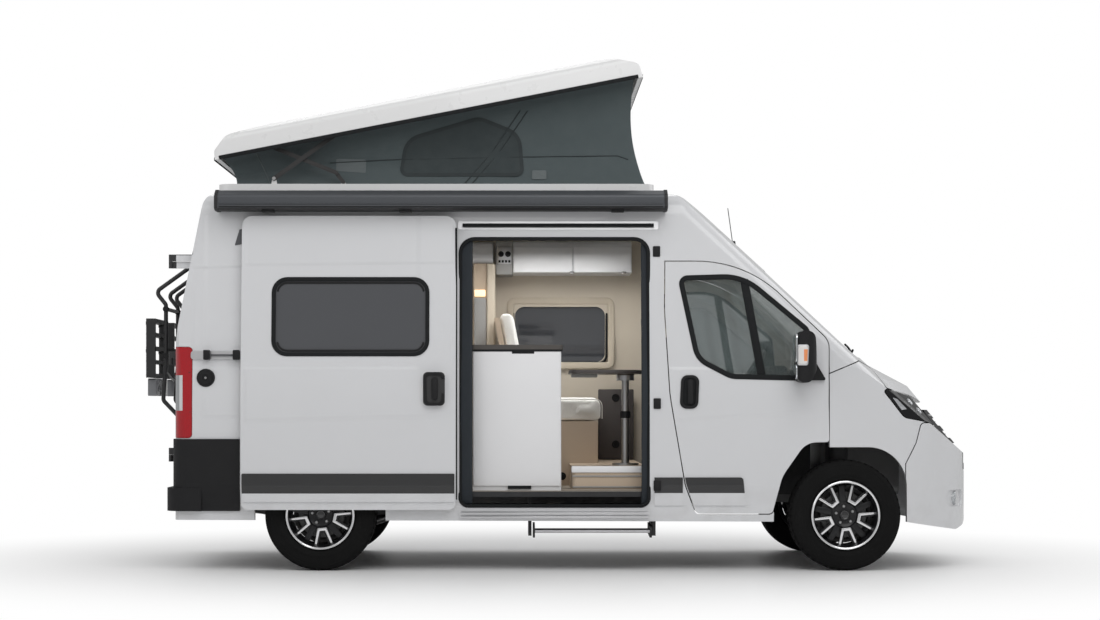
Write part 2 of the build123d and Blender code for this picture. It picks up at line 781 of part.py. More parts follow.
def front_subframe():
    """Cross member with the lower arms and the spring struts that carry the steering knuckles."""
    x = FRONT_AXLE_X
    beam = rounded_block((x - 90, x + 90), (-430, 430), (300, 385), "Y", 25)
    arm = prism(
        [
            (x - 150, -400, 20), (x + 150, -400, 20),
            (x + 26, -KINGPIN_Y - 22, 20), (x - 26, -KINGPIN_Y - 22, 20),
        ],
        "Z", 232, 262,
    )
    riser = block((x - 80, x + 80), (-432, -395), (250, 330))
    strut = pin((x, -700, 640), (x, -700, 985), 30)
    spring = pin((x, -700, 660), (x, -700, 930), 60)
    tower = block((x - 70, x + 70), (-760, -HOUSING_Y + 15), (985, 1005))
    leg = block((x - 70, x + 70), (-HOUSING_Y + 1, -HOUSING_Y + 15), (385, 985))
    root = block((x - 70, x + 70), (-HOUSING_Y + 15, -430), (300, 385))
    return beam + both_sides(arm + riser + strut + spring + tower + leg + root)


def rear_axle():
    """Live rear axle on two long leaf springs, with its shock absorbers."""
    x, z = REAR_AXLE_X, TYRE_R
    beam = pin((x, -REAR_HUB_Y, z), (x, REAR_HUB_Y, z), 48)
    diff = pin((x, -120, z), (x, 120, z), 108) + pin((x + 60, 0, z), (x + 260, 0, z), 60)
    flanges = pin((x, REAR_HUB_Y - 14, z), (x, REAR_HUB_Y, z), 74)
    flanges = both_sides(flanges)
    spring = prism(
        [
            (x - 690, 398, 6), (x - 60, 290, 300), (x + 60, 290, 300), (x + 640, 398, 6),
            (x + 640, 424, 6), (x + 60, 317, 300), (x - 60, 317, 300), (x - 690, 424, 6),
        ],
        "Y", -585, -515,
    )
    clamp = block((x - 60, x + 120), (-592, -480), (282, 326))
    shackles = block((x + 590, x + 630), (-585, -RAIL_Y - 30), (400, 450))
    shackles += block((x - 680, x - 640), (-585, -RAIL_Y - 30), (400, 450))
    shock = pin((x + 90, -508, 300), (x + 90, -508, FLOOR_Z - FLOOR_THICK), 24)
    side = spring + clamp + shackles + shock
    return beam + diff + flanges + both_sides(side)


def exhaust():
    """Exhaust: a silencer under the floor and the tail pipe out behind the rear wheel."""
    x = REAR_AXLE_X
    can = rounded_block((x + 800, x + 1500), (170, 370), (300, 410), "X", 50)
    front = rod([(x + 1480, 250, 355), (x + 1900, 250, 362), (FRONT_AXLE_X - 330, 200, 372)], 30, 200)
    tail = rod([
        (x + 820, 320, 355), (x + 420, 320, 300), (x + 200, 320, 230), (x - 250, 320, 230),
        (x - 520, 330, 330), (TAIL_X + 100, 690, 340),
    ], 27, 90)
    return can + front + tail


# ---------------------------------------------------------------- wheels and steering
HUB_FACE = 40                 # wheel's mounting face, outboard of the tyre's middle
REAR_HUB_Y = REAR_TRACK / 2 + HUB_FACE - 32 - HINGE_GAP
FRONT_HUB_Y = FRONT_TRACK / 2 + HUB_FACE - 32 - HINGE_GAP
SPOKES = 5


def tyre(x, y):
    """Tyre with a flat tread, sloped shoulders and full side walls."""
    half = TYRE_WIDTH / 2
    seat = RIM_R - 14
    wall = [(seat, half - 22), (RIM_R + 8, half - 14), (300, half), (TYRE_R - 8, half - 14), (TYRE_R, half - 34)]
    rows = [(u, -v, 0) for u, v in wall] + [(u, v, 0) for u, v in reversed(wall)]
    profile = outline(rows, lambda u, v: (u, v, 0))
    return Pos(x, y, TYRE_R) * revolve(profile, axis=Axis.Y)


def rim(x, y, side):
    """Alloy wheel: barrel, five forked spokes, hub and brake disc; side is -1 or 1."""
    half = TYRE_WIDTH / 2
    seat = RIM_R - 14         # where the tyre sits
    barrel = revolve(outline(
        [
            (seat, half - 22, 0), (seat, 22 - half, 0), (RIM_R + 4, 14 - half, 0), (RIM_R + 4, 4 - half, 0),
            (RIM_R - 18, 4 - half, 0), (RIM_R - 26, 30 - half, 0), (RIM_R - 26, half - 30, 0),
            (RIM_R - 18, half - 4, 0), (RIM_R + 4, half - 4, 0), (RIM_R + 4, half - 14, 0),
        ],
        lambda u, v: (u, v, 0),
    ), axis=Axis.Y)
    hub = pin((0, HUB_FACE - 32, 0), (0, HUB_FACE + 26, 0), 72)
    cap = pin((0, HUB_FACE + 26, 0), (0, HUB_FACE + 34, 0), 31)
    whole = barrel + hub + cap
    fork = [(4, 64, 0), (26, 58, 0), (62, RIM_R - 31, 0), (38, RIM_R - 23, 0)]
    for i in range(SPOKES):
        for lean in (-1, 1):
            leg = prism([(lean * u, v, radius) for u, v, radius in fork], "Y", HUB_FACE - 2, HUB_FACE + 26)
            whole += Rot(0, 360 / SPOKES * i, 0) * leg
    return Pos(x, y, TYRE_R) * (whole if side > 0 else mirrored(whole))


def knuckle():
    """Right-hand steering knuckle: carrier on the kingpin, stub axle, caliper and steering arm."""
    x, y, z = FRONT_AXLE_X, -KINGPIN_Y, TYRE_R
    post = pin((x, y, 264), (x, y, 470), 30)
    hub = pin((x, y + 5, z), (x, -FRONT_HUB_Y, z), 62)
    caliper = rounded_block((x + 70, x + 128), (y - 62, y + 12), (z - 70, z + 70), "Y", 20)
    web = block((x + 20, x + 84), (y - 18, y + 8), (z - 38, z + 38))
    yoke = block((x - 26, x + 26), (y, -672), (430, 474))
    riser = pin((x, -700, 450), (x, -700, 639), 27)
    arm = block((x - 170, x), (y - 14, y + 14), (z - 85, z - 55))
    return post + hub + caliper + web + yoke + riser + arm


# ---------------------------------------------------------------- pop-up roof
RIM_TOP = ROOF_Z + 23         # top of the frame that the roof closes on
RIM_Y = 885
RIM_BAR = 130
RAISED_REAR = (TAIL_X + 247, RIM_TOP + 160)        # lower edge of the raised shell, rear
RAISED_FRONT = (FRONT_AXLE_X - 1322, RIM_TOP + 710)
SHELL_TILT = math.atan2(RAISED_FRONT[1] - RAISED_REAR[1], RAISED_FRONT[0] - RAISED_REAR[0])
SHELL_LENGTH = math.dist(RAISED_REAR, RAISED_FRONT)
SHELL_Y = 872
SHELL_WALL = 28
SHELL_LIP = 9                 # gap left under the lip of the closed shell
PIN_RISE = 35                 # linkage pins on the shell, above its lip
ARM_Y = 800
ARM_THICK = 8
ARM_PIN_R = 7
CROSS_Y = -ARM_Y + ARM_THICK + 6
LINK_Y = -ARM_Y + 2 * (ARM_THICK + 6)


def on_shell(length, height):
    """Point of the raised shell, length along its lip from the rear and height above it."""
    along = (math.cos(SHELL_TILT), math.sin(SHELL_TILT))
    return (
        RAISED_REAR[0] + along[0] * length - along[1] * height,
        RAISED_REAR[1] + along[1] * length + along[0] * height,
    )


def turned(point, centre, angle):
    """A side-view point turned about a centre by an angle in radians."""
    dx, dz = point[0] - centre[0], point[1] - centre[1]
    c, s = math.cos(angle), math.sin(angle)
    return (centre[0] + dx * c - dz * s, centre[1] + dx * s + dz * c)


# The long arm stands on the roof frame; closed, it lies flat under the shell.
ARM_FOOT = (TAIL_X + 632, RIM_TOP + SHELL_LIP + PIN_RISE)
HEAD_AT = 840                 # the two heads' places along the shell's lip
CROSS_AT = 366
ARM_HEAD = on_shell(HEAD_AT, PIN_RISE)
ARM_LENGTH = math.dist(ARM_FOOT, ARM_HEAD)
ARM_HEAD_SHUT = (ARM_FOOT[0] + ARM_LENGTH, ARM_FOOT[1])
# The shell turns about the point that carries the arm's head from one place to the other.
HALF_CHORD = math.dist(ARM_HEAD, ARM_HEAD_SHUT) / 2
LIFT_REACH = HALF_CHORD / math.tan(SHELL_TILT / 2)
CHORD = (
    (ARM_HEAD_SHUT[0] - ARM_HEAD[0]) / HALF_CHORD / 2,
    (ARM_HEAD_SHUT[1] - ARM_HEAD[1]) / HALF_CHORD / 2,
)
LIFT_PIVOT = (
    (ARM_HEAD[0] + ARM_HEAD_SHUT[0]) / 2 + CHORD[1] * LIFT_REACH,
    (ARM_HEAD[1] + ARM_HEAD_SHUT[1]) / 2 - CHORD[0] * LIFT_REACH,
)
# The cross arm hangs from the shell and meets a short link that stands on the frame.
CROSS_HEAD = on_shell(CROSS_AT, PIN_RISE)
CROSS_ELBOW = (TAIL_X + 1043, RIM_TOP + 85)
CROSS_LENGTH = math.dist(CROSS_HEAD, CROSS_ELBOW)
CROSS_HEAD_SHUT = turned(CROSS_HEAD, LIFT_PIVOT, -SHELL_TILT)
ELBOW_SHUT_DROP = CROSS_HEAD_SHUT[1] - (RIM_TOP + 36)
CROSS_ELBOW_SHUT = (
    CROSS_HEAD_SHUT[0] + math.sqrt(CROSS_LENGTH**2 - ELBOW_SHUT_DROP**2),
    RIM_TOP + 36,
)
LINK_FOOT_Z = RIM_TOP + 22
LINK_FOOT = (
    (
        CROSS_ELBOW_SHUT[0]**2 - CROSS_ELBOW[0]**2
        + (CROSS_ELBOW_SHUT[1] - LINK_FOOT_Z)**2 - (CROSS_ELBOW[1] - LINK_FOOT_Z)**2
    ) / (2 * (CROSS_ELBOW_SHUT[0] - CROSS_ELBOW[0])),
    LINK_FOOT_Z,
)


def shell_side(amount):
    """Side outline of the raised shell, moved in by amount from every side but the lip."""
    rows = [
        (0, 0, 0), (6, 60, 40), (110, 158, 120), (560, 190, 900),
        (2330, 204, 900), (2700, 172, 300), (SHELL_LENGTH - 10, 96, 50), (SHELL_LENGTH, 0, 0),
    ]
    rows = inset(rows, amount)
    rows[0] = (rows[0][0], -60 if amount else 0, 0)
    rows[-1] = (rows[-1][0], -60 if amount else 0, 0)
    return [(*on_shell(u, v), radius) for u, v, radius in rows]


SHELL_SECTION = [             # (y, height over the lip, radius): upright sides, then a chamfer and a crown
    (-SHELL_Y, -80, 0), (SHELL_Y, -80, 0), (SHELL_Y, 140, 40), (SHELL_Y - 90, 180, 60),
    (0, 206, 4000), (90 - SHELL_Y, 180, 60), (-SHELL_Y, 140, 40),
]


def shell_body(amount):
    """Solid under the shell's outer surface, moved in by amount from every side but the lip."""
    section = inset(SHELL_SECTION, amount)
    face = outline(section, lambda y, height: (on_shell(-100, height)[0], y, on_shell(-100, height)[1]))
    along = (math.cos(SHELL_TILT), 0, math.sin(SHELL_TILT))
    return prism(shell_side(amount), "Y", -SHELL_Y, SHELL_Y) & extrude(face, amount=SHELL_LENGTH + 200, dir=along)


def roof_shell():
    """Raised roof shell: a crowned tray with a deep turned-down rim, open underneath."""
    outer, inner = shell_body(0), shell_body(SHELL_WALL)
    shell = outer - inner
    for length, y in ((HEAD_AT, -ARM_Y - ARM_THICK / 2 - 8), (CROSS_AT, CROSS_Y + ARM_THICK / 2 + 5)):
        plate = prism(
            [
                (*on_shell(length - 26, 170), 0), (*on_shell(length + 26, 170), 0),
                (*on_shell(length + 12, 22), 10), (*on_shell(length - 12, 22), 10),
            ],
            "Y", y, y + 5,
        ) & outer
        if length == CROSS_AT:
            x, z = CROSS_HEAD
            plate -= pin((x, y - 1, z), (x, y + 6, z), ARM_PIN_R + HINGE_GAP)
        shell += both_sides(plate)
    return shell


def arm_between(foot, head, y, width):
    """Flat bar with round ends between two side-view points, with a pin through each end."""
    way = (head[0] - foot[0], head[1] - foot[1])
    length = math.hypot(*way)
    bar = SlotCenterToCenter(length, width)
    middle = ((foot[0] + head[0]) / 2, y, (foot[1] + head[1]) / 2)
    plane = Plane(origin=middle, x_dir=(way[0], 0, way[1]), z_dir=(0, -1, 0))
    return extrude(plane * bar, amount=ARM_THICK / 2, both=True)


def long_arm():
    """Long lifting arms, one each side: foot on the roof frame, head on the shell."""
    bar = arm_between(ARM_FOOT, ARM_HEAD, -ARM_Y, 30)
    foot_pin = pin((ARM_FOOT[0], -ARM_Y - 12, ARM_FOOT[1]), (ARM_FOOT[0], -ARM_Y + 12, ARM_FOOT[1]), ARM_PIN_R)
    return both_sides(bar + foot_pin)


def cross_arm():
    """Cross arms, one each side: head on the shell, elbow on the short link."""
    y = CROSS_Y
    bar = arm_between(CROSS_HEAD, CROSS_ELBOW, y, 28)
    head_pin = pin((CROSS_HEAD[0], y - 7, CROSS_HEAD[1]), (CROSS_HEAD[0], y + 14, CROSS_HEAD[1]), ARM_PIN_R)
    return both_sides(bar + head_pin)


def short_link():
    """Short links, one each side: foot on the roof frame, elbow on the cross arm."""
    bar = arm_between(LINK_FOOT, CROSS_ELBOW, LINK_Y, 26)
    foot_pin = pin((LINK_FOOT[0], LINK_Y - 3, LINK_FOOT[1]), (LINK_FOOT[0], LINK_Y + 11, LINK_FOOT[1]), ARM_PIN_R)
    return both_sides(bar + foot_pin)


def roof_frame():
    """Raised frame round the hatch that the roof closes on, with the linkage's brackets."""
    x0, x1 = RAISED_REAR[0] + 20, RAISED_FRONT[0] + 75
    ring = prism(
        [(x0, -RIM_Y, 90), (x1, -RIM_Y, 90), (x1, RIM_Y, 90), (x0, RIM_Y, 90)], "Z", 2300, RIM_TOP
    )
    ring -= prism(
        [
            (x0 + RIM_BAR, RIM_BAR + 65 - RIM_Y, 60), (x1 - RIM_BAR, RIM_BAR + 65 - RIM_Y, 60),
            (x1 - RIM_BAR, RIM_Y - RIM_BAR - 65, 60), (x0 + RIM_BAR, RIM_Y - RIM_BAR - 65, 60),
        ],
        "Z", 2200, RIM_TOP + 10,
    )
    ring -= OUTER
    ears = None
    for (x, z), y, half in ((ARM_FOOT, -ARM_Y, 22), (LINK_FOOT, LINK_Y, 18)):
        inner_y = y + ARM_THICK / 2 + 1
        ear = prism(
            [(x - half, RIM_TOP - 5, 0), (x + half, RIM_TOP - 5, 0), (x + 11, z + 11, 8), (x - 11, z + 11, 8)],
            "Y", inner_y, inner_y + 5,
        )
        ear -= pin((x, inner_y - 1, z), (x, inner_y + 6, z), ARM_PIN_R + HINGE_GAP)
        ears = ear if ears is None else ears + ear
    return ring + both_sides(ears)


TENT_Y = 735
TENT_FOLD_Y = 660             # the walls are drawn in along their fold line
TENT_WALL = 3
TENT_RINGS = [                # (rear x, z, front x, z, half width): on the frame, at the fold, under the shell
    (RAISED_REAR[0] + 129, RIM_TOP + 1, RAISED_FRONT[0] + 34, RIM_TOP + 1, TENT_Y),
    (RAISED_REAR[0] + 92, RIM_TOP + 120, RAISED_FRONT[0] - 100, RIM_TOP + 350, TENT_FOLD_Y),
    (*on_shell(40, 20), *on_shell(SHELL_LENGTH - 45, 20), TENT_Y),
]


def tent_body(wall):
    """Solid inside the tent's cloth, or inside a skin wall thick that runs on past both open ends."""
    reach = 60 if wall else 0
    faces = []
    for (x0, z0, x1, z1, half), rise in zip(TENT_RINGS, (-reach, 0, reach)):
        x0, x1, half = x0 + wall, x1 - wall, half - wall
        corners = [(x0, -half, z0 + rise), (x1, -half, z1 + rise), (x1, half, z1 + rise), (x0, half, z0 + rise)]
        faces.append(Face(Wire.make_polygon([Vector(*corner) for corner in corners])))
    low, fold, high = faces
    return loft([low, fold], ruled=True) + loft([fold, high], ruled=True)


def tent():
    """Tent fabric between the roof frame and the raised shell, drawn in along a fold."""
    return tent_body(0) - tent_body(TENT_WALL)


# ---------------------------------------------------------------- awning and entry step
AWNING_X = (TAIL_X + 277, FRONT_AXLE_X - 1174)
AWNING_Y = -1120
AWNING_Z = (2362, 2494)


def awning():
    """Closed awning: a long rounded cassette with end caps, on brackets along the roof edge."""
    x0, x1 = AWNING_X
    low, high = AWNING_Z
    back = -HALF_WIDTH + 76
    profile = [
        (AWNING_Y, low + 14, 12), (AWNING_Y + 40, low, 20), (back, low, 10),
        (back, high, 10), (AWNING_Y + 70, high, 40), (AWNING_Y, high - 40, 35),
    ]
    case = prism(profile, "X", x0 + 22, x1 - 22)
    cap = inset(profile, -4)
    case += prism(cap, "X", x0, x0 + 22) + prism(cap, "X", x1 - 22, x1)
    case -= prism(
        [(AWNING_Y - 9, low + 30, 0), (AWNING_Y + 6, low + 30, 0), (AWNING_Y + 6, low + 36, 0), (AWNING_Y - 9, low + 36, 0)],
        "X", x0 + 30, x1 - 30,
    )
    for i in range(AWNING_BRACKETS):
        x = x0 + 300 + i * (x1 - x0 - 600) / (AWNING_BRACKETS - 1)
        case += block((x - 60, x + 60), (back - 5, -HALF_WIDTH + 140), (low + 20, low + 100))
    return case - OUTER


AWNING_BRACKETS = 3
STEP_X = (FRONT_AXLE_X - 2053, FRONT_AXLE_X - 1272)
STEP_Z = (216, 328)
STEP_TRAVEL = 250


def entry_step():
    """Folding entry step: two side plates, a slatted tread and its front bar."""
    x0, x1 = STEP_X
    low, high = STEP_Z
    cheek = prism(
        [(-1035, low, 30), (-760, low + 20, 10), (-760, high - 20, 10), (-1035, high - 40, 30)], "X", x0, x0 + 14
    )
    step = cheek + Pos(x1 - x0 - 14, 0, 0) * cheek
    for i in range(4):
        y = -1030 + i * 62
        step += rounded_block((x0 + 13, x1 - 13), (y, y + 48), (low + 34, low + 52), "X", 6)
    return step


def step_rails():
    """The entry step's housing under the floor: a tray with a rail at each end."""
    x0, x1 = STEP_X
    rails = None
    for x in (x0 - 30, x1 + 8):
        rail = block((x, x + 22), (-930, -560), (STEP_Z[0] + 10, STEP_Z[1]))
        rail += block((x, x + 22), (-860, -560), (STEP_Z[1] - 10, FLOOR_Z - FLOOR_THICK))
        rails = rail if rails is None else rails + rail
    return rails + block((x0 - 30, x1 + 30), (-700, -560), (STEP_Z[1] + 24, STEP_Z[1] + 40))


# ---------------------------------------------------------------- living area
KITCHEN_X = (FRONT_AXLE_X - 2450, FRONT_AXLE_X - 1865)


def kitchen():
    """Kitchen block with its worktop and sunk sink, and the overhead lockers of the same boards."""
    x0, x1 = KITCHEN_X
    body = block((x0, x1), (-900, -420), (FLOOR_Z, 1455))
    top = rounded_block((x0 - 12, x1 + 12), (-908, -405), (1455, 1487), "Z", 20)
    sink = rounded_block((x0 + 90, x1 - 120), (-820, -520), (1345, 1500), "Z", 50)
    return body + top - sink + lockers()


def lockers():
    """Overhead lockers along the left wall, with a rounded upper front edge."""
    profile = [(560, 2050, 20), (900, 2050, 0), (900, 2290, 0), (600, 2290, 60)]
    return prism(profile, "X", FRONT_AXLE_X - 2189, FRONT_AXLE_X - 1322) & INNER


PODIUM_TOP = FLOOR_Z + 156


BENCH_Y = (-60, 800)
BACK_FOOT_X = FRONT_AXLE_X - 2180     # rear of the bench's leaning back board, at the seat
BACK_LEAN = 140 / 725                 # how far the back leans, for each unit of height
BOARD_TOP = 1700
SEAT_Z = 975                          # top of the bench's base


def leaning(offset, thick, low, high):
    """Side outline of a board or cushion that leans with the bench's back, offset in front of its rear."""
    rows = [(0, low), (thick, low), (thick, high), (0, high)]
    return [(BACK_FOOT_X + offset + u - (z - SEAT_Z) * BACK_LEAN, z, 0) for u, z in rows]


def bench():
    """Two-seat bench on its plinth, with the stepped podium that carries the table leg."""
    x = FRONT_AXLE_X
    podium = rounded_block((x - 1792, x - 1292), (-860, 860), (FLOOR_Z, PODIUM_TOP), "Z", 30)
    base = rounded_block((BACK_FOOT_X, x - 1592), BENCH_Y, (FLOOR_Z, SEAT_Z), "Y", 20)
    back = prism(leaning(0, 38, SEAT_Z - 5, BOARD_TOP), "Y", *BENCH_Y)
    return podium + base + back


def cushions():
    """Seat and back cushions of the bench."""
    x = FRONT_AXLE_X
    low, high = BENCH_Y[0] + 10, BENCH_Y[1] - 10
    seat = rounded_block((x - 2044, x - 1558), (low, high), (SEAT_Z + 1, SEAT_Z + 155), "Y", 40)
    back = prism([(u, v, 25) for u, v, _ in leaning(46, 80, SEAT_Z + 3, 1745)], "Y", low, high)
    return seat + back


def table():
    """Folding table with a round end on one round leg and a foot plate."""
    x = FRONT_AXLE_X
    top = prism(
        [(x - 1801, -780, 60), (x - 1315, -780, 230), (x - 1315, -200, 230), (x - 1801, -200, 60)],
        "Z", 1299, 1324,
    )
    leg = pin((x - 1421, -490, PODIUM_TOP), (x - 1421, -490, 1300), 24)
    foot = pin((x - 1421, -490, PODIUM_TOP), (x - 1421, -490, PODIUM_TOP + 14), 90)
    collar = pin((x - 1421, -490, 1255), (x - 1421, -490, 1300), 60)
    return top + leg + foot + collar


def rear_bed():
    """Bed deck across the tail on two side boxes, leaving a through load space under it."""
    x0, x1 = TAIL_X + 190, TAIL_X + 1500
    deck = block((x0, x1), (-880, 880), (1150, 1180))
    legs = block((x0 + 60, x1 - 30), (720, 760), (FLOOR_Z, 1150))
    whole = deck + both_sides(legs)
    return whole - both_sides(
        pin((REAR_AXLE_X, REAR_HOUSING_Y - 40, TYRE_R + 20), (REAR_AXLE_X, 1100, TYRE_R + 20), HOUSING_R + 14)
    )


CUPBOARD_X = (FRONT_AXLE_X - 2476, FRONT_AXLE_X - 2352)   # clear of the aisle behind it


def furniture():
    """Bench, rear bed and the tall cupboard behind the bench, which are built from the same boards."""
    cupboard = block(CUPBOARD_X, (560, 880), (FLOOR_Z, 2120))
    return bench() + rear_bed() + cupboard


def mattress():
    """Mattress on the bed deck."""
    return rounded_block((TAIL_X + 205, TAIL_X + 1490), (-865, 865), (1181, 1290), "X", 35)


def dashboard():
    """Dashboard across the cab with its driver's hood and centre stack."""
    x = FRONT_AXLE_X
    body = prism(
        [
            (x - 330, 1010, 60), (x - 240, 960, 10), (x - 214, 960, 0), (x - 214, 1250, 0),
            (x + 60, 1280, 12), (x + 20, 1345, 50), (x - 260, 1330, 70), (x - 360, 1180, 50),
        ],
        "Y", -900, 900,
    ) & envelope(WALL + 12)
    hood = prism([(x - 400, 1210, 30), (x - 250, 1200, 10), (x - 220, 1370, 30), (x - 360, 1365, 40)], "Y", 250, 590)
    stack = prism([(x - 375, 860, 40), (x - 214, 860, 10), (x - 214, 1250, 10), (x - 372, 1200, 40)], "Y", -150, 150)
    return body + hood + stack - WHEEL_PLACE * (Pos(0, 0, -90) * Cylinder(31, 132))


WHEEL_PLACE = Pos(FRONT_AXLE_X - 470, 420, 1310) * Rot(0, -60, 0)


def steering_wheel():
    """Steering wheel with three spokes on its column."""
    grip = outline(
        [(173, -6, 0), (182, -14, 0), (196, -12, 0), (203, 0, 0), (196, 12, 0), (182, 14, 0), (173, 6, 0)],
        lambda u, v: (u, 0, v),
    )
    wheel = revolve(grip, axis=Axis.Z) + Cylinder(52, 44)
    for i in range(3):
        wheel += Rot(0, 0, 90 + 120 * i) * block((30, 178), (-16, 16), (-6, 6))
    wheel += Pos(0, 0, -90) * Cylinder(30, 130)
    return WHEEL_PLACE * wheel


def cab_seats():
    """Two cab seats with head rests on box plinths."""
    x = FRONT_AXLE_X
    plinth = block((x - 1080, x - 760), (-650, -270), (FLOOR_Z, 800))
    seat = rounded_block((x - 1160, x - 680), (-700, -220), (800, 960), "Y", 60)
    back = prism(
        [(x - 1130, 900, 40), (x - 1030, 900, 40), (x - 1120, 1560, 40), (x - 1240, 1560, 40)], "Y", -690, -230
    )
    head = prism(
        [(x - 1165, 1600, 30), (x - 1240, 1600, 30), (x - 1255, 1780, 30), (x - 1175, 1780, 30)], "Y", -590, -330
    )
    posts = pin((x - 1195, -520, 1540), (x - 1205, -520, 1620), 8) + pin((x - 1195, -400, 1540), (x - 1205, -400, 1620), 8)
    return both_sides(plinth + seat + back + head + posts)


# ---------------------------------------------------------------- door rails
RAIL_Z = 1416


def door_rails():
    """Sliding door's guide rails: along the roof edge, the rear quarter and the sill."""
    upper = RAISED & right([
        (SLIDE_OPEN_REAR - 10, 2245, 10), (SLIDE_OPEN_FRONT + 60, 2245, 10),
        (SLIDE_OPEN_FRONT + 60, 2300, 10), (SLIDE_OPEN_REAR - 10, 2300, 10),
    ])
    middle = (Pos(0, -12, 0) * OUTER - OUTER) & right([
        (TAIL_X + 110, RAIL_Z - 28, 20), (SLIDE_OPEN_REAR - 60, RAIL_Z - 28, 20),
        (SLIDE_OPEN_REAR - 60, RAIL_Z + 28, 20), (TAIL_X + 110, RAIL_Z + 28, 20),
    ])
    lower = RAISED & right([
        (SLIDE_OPEN_REAR, 350, 8), (SLIDE_OPEN_FRONT, 350, 8), (SLIDE_OPEN_FRONT, 400, 8), (SLIDE_OPEN_REAR, 400, 8),
    ])
    return upper + middle + lower


SLIDE_OPEN_REAR = FRONT_AXLE_X - 2536


# ---------------------------------------------------------------- assembly
def four_wheels():
    """Tyres and rims at their four places, by name."""
    nodes = {}
    places = (
        ("front_right", FRONT_AXLE_X, -FRONT_TRACK / 2, -1),
        ("front_left", FRONT_AXLE_X, FRONT_TRACK / 2, 1),
        ("rear_right", REAR_AXLE_X, -REAR_TRACK / 2, -1),
        ("rear_left", REAR_AXLE_X, REAR_TRACK / 2, 1),
    )
    for name, x, y, side in places:
        nodes["tyre_" + name] = tyre(x, y)
        nodes["rim_" + name] = rim(x, y, side)
    return nodes


def pairs():
    """Pieces that come as a right-hand one and its mirror image, each on its own body."""
    nodes = {}
    for name, build in (
        ("cab_door", cab_door),
        ("cab_glass", cab_glass),
        ("mirror", mirror_unit),
        ("rear_door", rear_door),
        ("rear_glass", rear_glass),
        ("rack", rack),
        ("knuckle", knuckle),
    ):
        piece = build()
        nodes[name + "_right"] = piece
        nodes[name + "_left"] = mirrored(piece)
    return nodes


def model():
    """Every node of the van by name."""
    nodes = {
        build.__name__: build()
        for build in (
            underbody, cab_floor, chassis, side_right, side_left, roof_panel, cab_shell, windscreen, fenders, bonnet,
            headlamps, grille, front_bumper, tail_lamps, rear_bumper, sliding_door, windows,
            door_rails, engine, front_subframe, rear_axle, exhaust, roof_frame,
            roof_shell, long_arm, cross_arm, short_link, tent, awning, entry_step, kitchen,
            furniture, cushions, table, mattress, dashboard, steering_wheel, cab_seats,
        )
    }
    nodes.update(pairs())
    nodes.update(four_wheels())
    return nodes


os.makedirs("parts", exist_ok=True)
for node, shape in model().items():
    export_step(shape, f"parts/{node}.step")
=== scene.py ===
"""Looks of the camper van: finishes and detail pieces, set around its fixed frame."""

import json
import logging
import math
import time
from dataclasses import dataclass
from enum import Enum
from typing import Optional, Sequence

import bpy
from mathutils import Matrix, Vector

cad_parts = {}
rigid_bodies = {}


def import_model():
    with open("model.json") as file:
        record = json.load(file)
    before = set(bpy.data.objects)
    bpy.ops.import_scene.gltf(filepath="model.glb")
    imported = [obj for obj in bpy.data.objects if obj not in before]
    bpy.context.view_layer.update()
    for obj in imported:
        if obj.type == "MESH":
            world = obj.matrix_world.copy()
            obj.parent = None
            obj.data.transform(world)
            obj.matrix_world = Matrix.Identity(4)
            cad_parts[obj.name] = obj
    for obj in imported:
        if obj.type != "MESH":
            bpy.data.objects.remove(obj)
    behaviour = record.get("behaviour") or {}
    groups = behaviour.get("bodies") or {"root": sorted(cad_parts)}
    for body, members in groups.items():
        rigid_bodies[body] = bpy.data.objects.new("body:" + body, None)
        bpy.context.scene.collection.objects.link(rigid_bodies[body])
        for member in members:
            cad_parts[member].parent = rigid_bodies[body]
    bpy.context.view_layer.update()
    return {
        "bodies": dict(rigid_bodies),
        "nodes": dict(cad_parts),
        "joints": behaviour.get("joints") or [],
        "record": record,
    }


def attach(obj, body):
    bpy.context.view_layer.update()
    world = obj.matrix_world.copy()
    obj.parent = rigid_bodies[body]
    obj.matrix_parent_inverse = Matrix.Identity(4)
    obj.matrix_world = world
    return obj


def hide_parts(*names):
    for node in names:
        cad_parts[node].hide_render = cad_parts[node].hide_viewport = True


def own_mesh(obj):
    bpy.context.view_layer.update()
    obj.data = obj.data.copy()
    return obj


LOG = logging.getLogger("van")

Piece = bpy.types.Object
Socket = bpy.types.NodeSocket
Point = tuple[float, float, float]
Flat = tuple[float, float]
Colour = tuple[float, float, float]
Row = tuple[float, float, float]    # a corner of an outline and the radius that rounds it

# ---------------------------------------------------------------- the van's own sizes, in metres
FRONT_AXLE = 1.852
REAR_AXLE = -1.598
NOSE = 2.800
TAIL = -2.555
HALF_WIDTH = 1.025
FLOOR = 0.524
RIM_TOP = 2.553               # top of the roof frame, where the tent starts
TYRE_R = 0.365
WHEEL_OUT = (0.905, 0.895)    # middle of the front and of the rear tyres, out from the centre plane
SHELL_REAR = (-2.308, 2.713)  # ends of the raised shell's lower edge, as (x, z)
SHELL_FRONT = (0.530, 3.263)
RAY_START = {"side": 3.0, "nose": 5.0, "tail": -4.0}    # places well outside the van
FAR = 9.0                     # a limit that leaves a zone open on that side
WHEREVER = (-FAR,) * 3
ORIGIN = (0.0, 0.0, 0.0)
UP = (0.0, 0.0, 1.0)
SIDES = ((-1, "right"), (1, "left"))
CAB_DOOR_BODY = "cab_door_{}_body"
REAR_DOOR_BODY = "rear_door_{}_body"

WEAVE_PITCH = 0.0016          # between the threads of a cloth
CREASE_FADE = 0.02            # over which a pressed line runs out at its ends
FACES_DOWN = -0.3             # a normal's height below which its face looks down
MERGE_GAP = 0.00005
SHARP = math.radians(40)


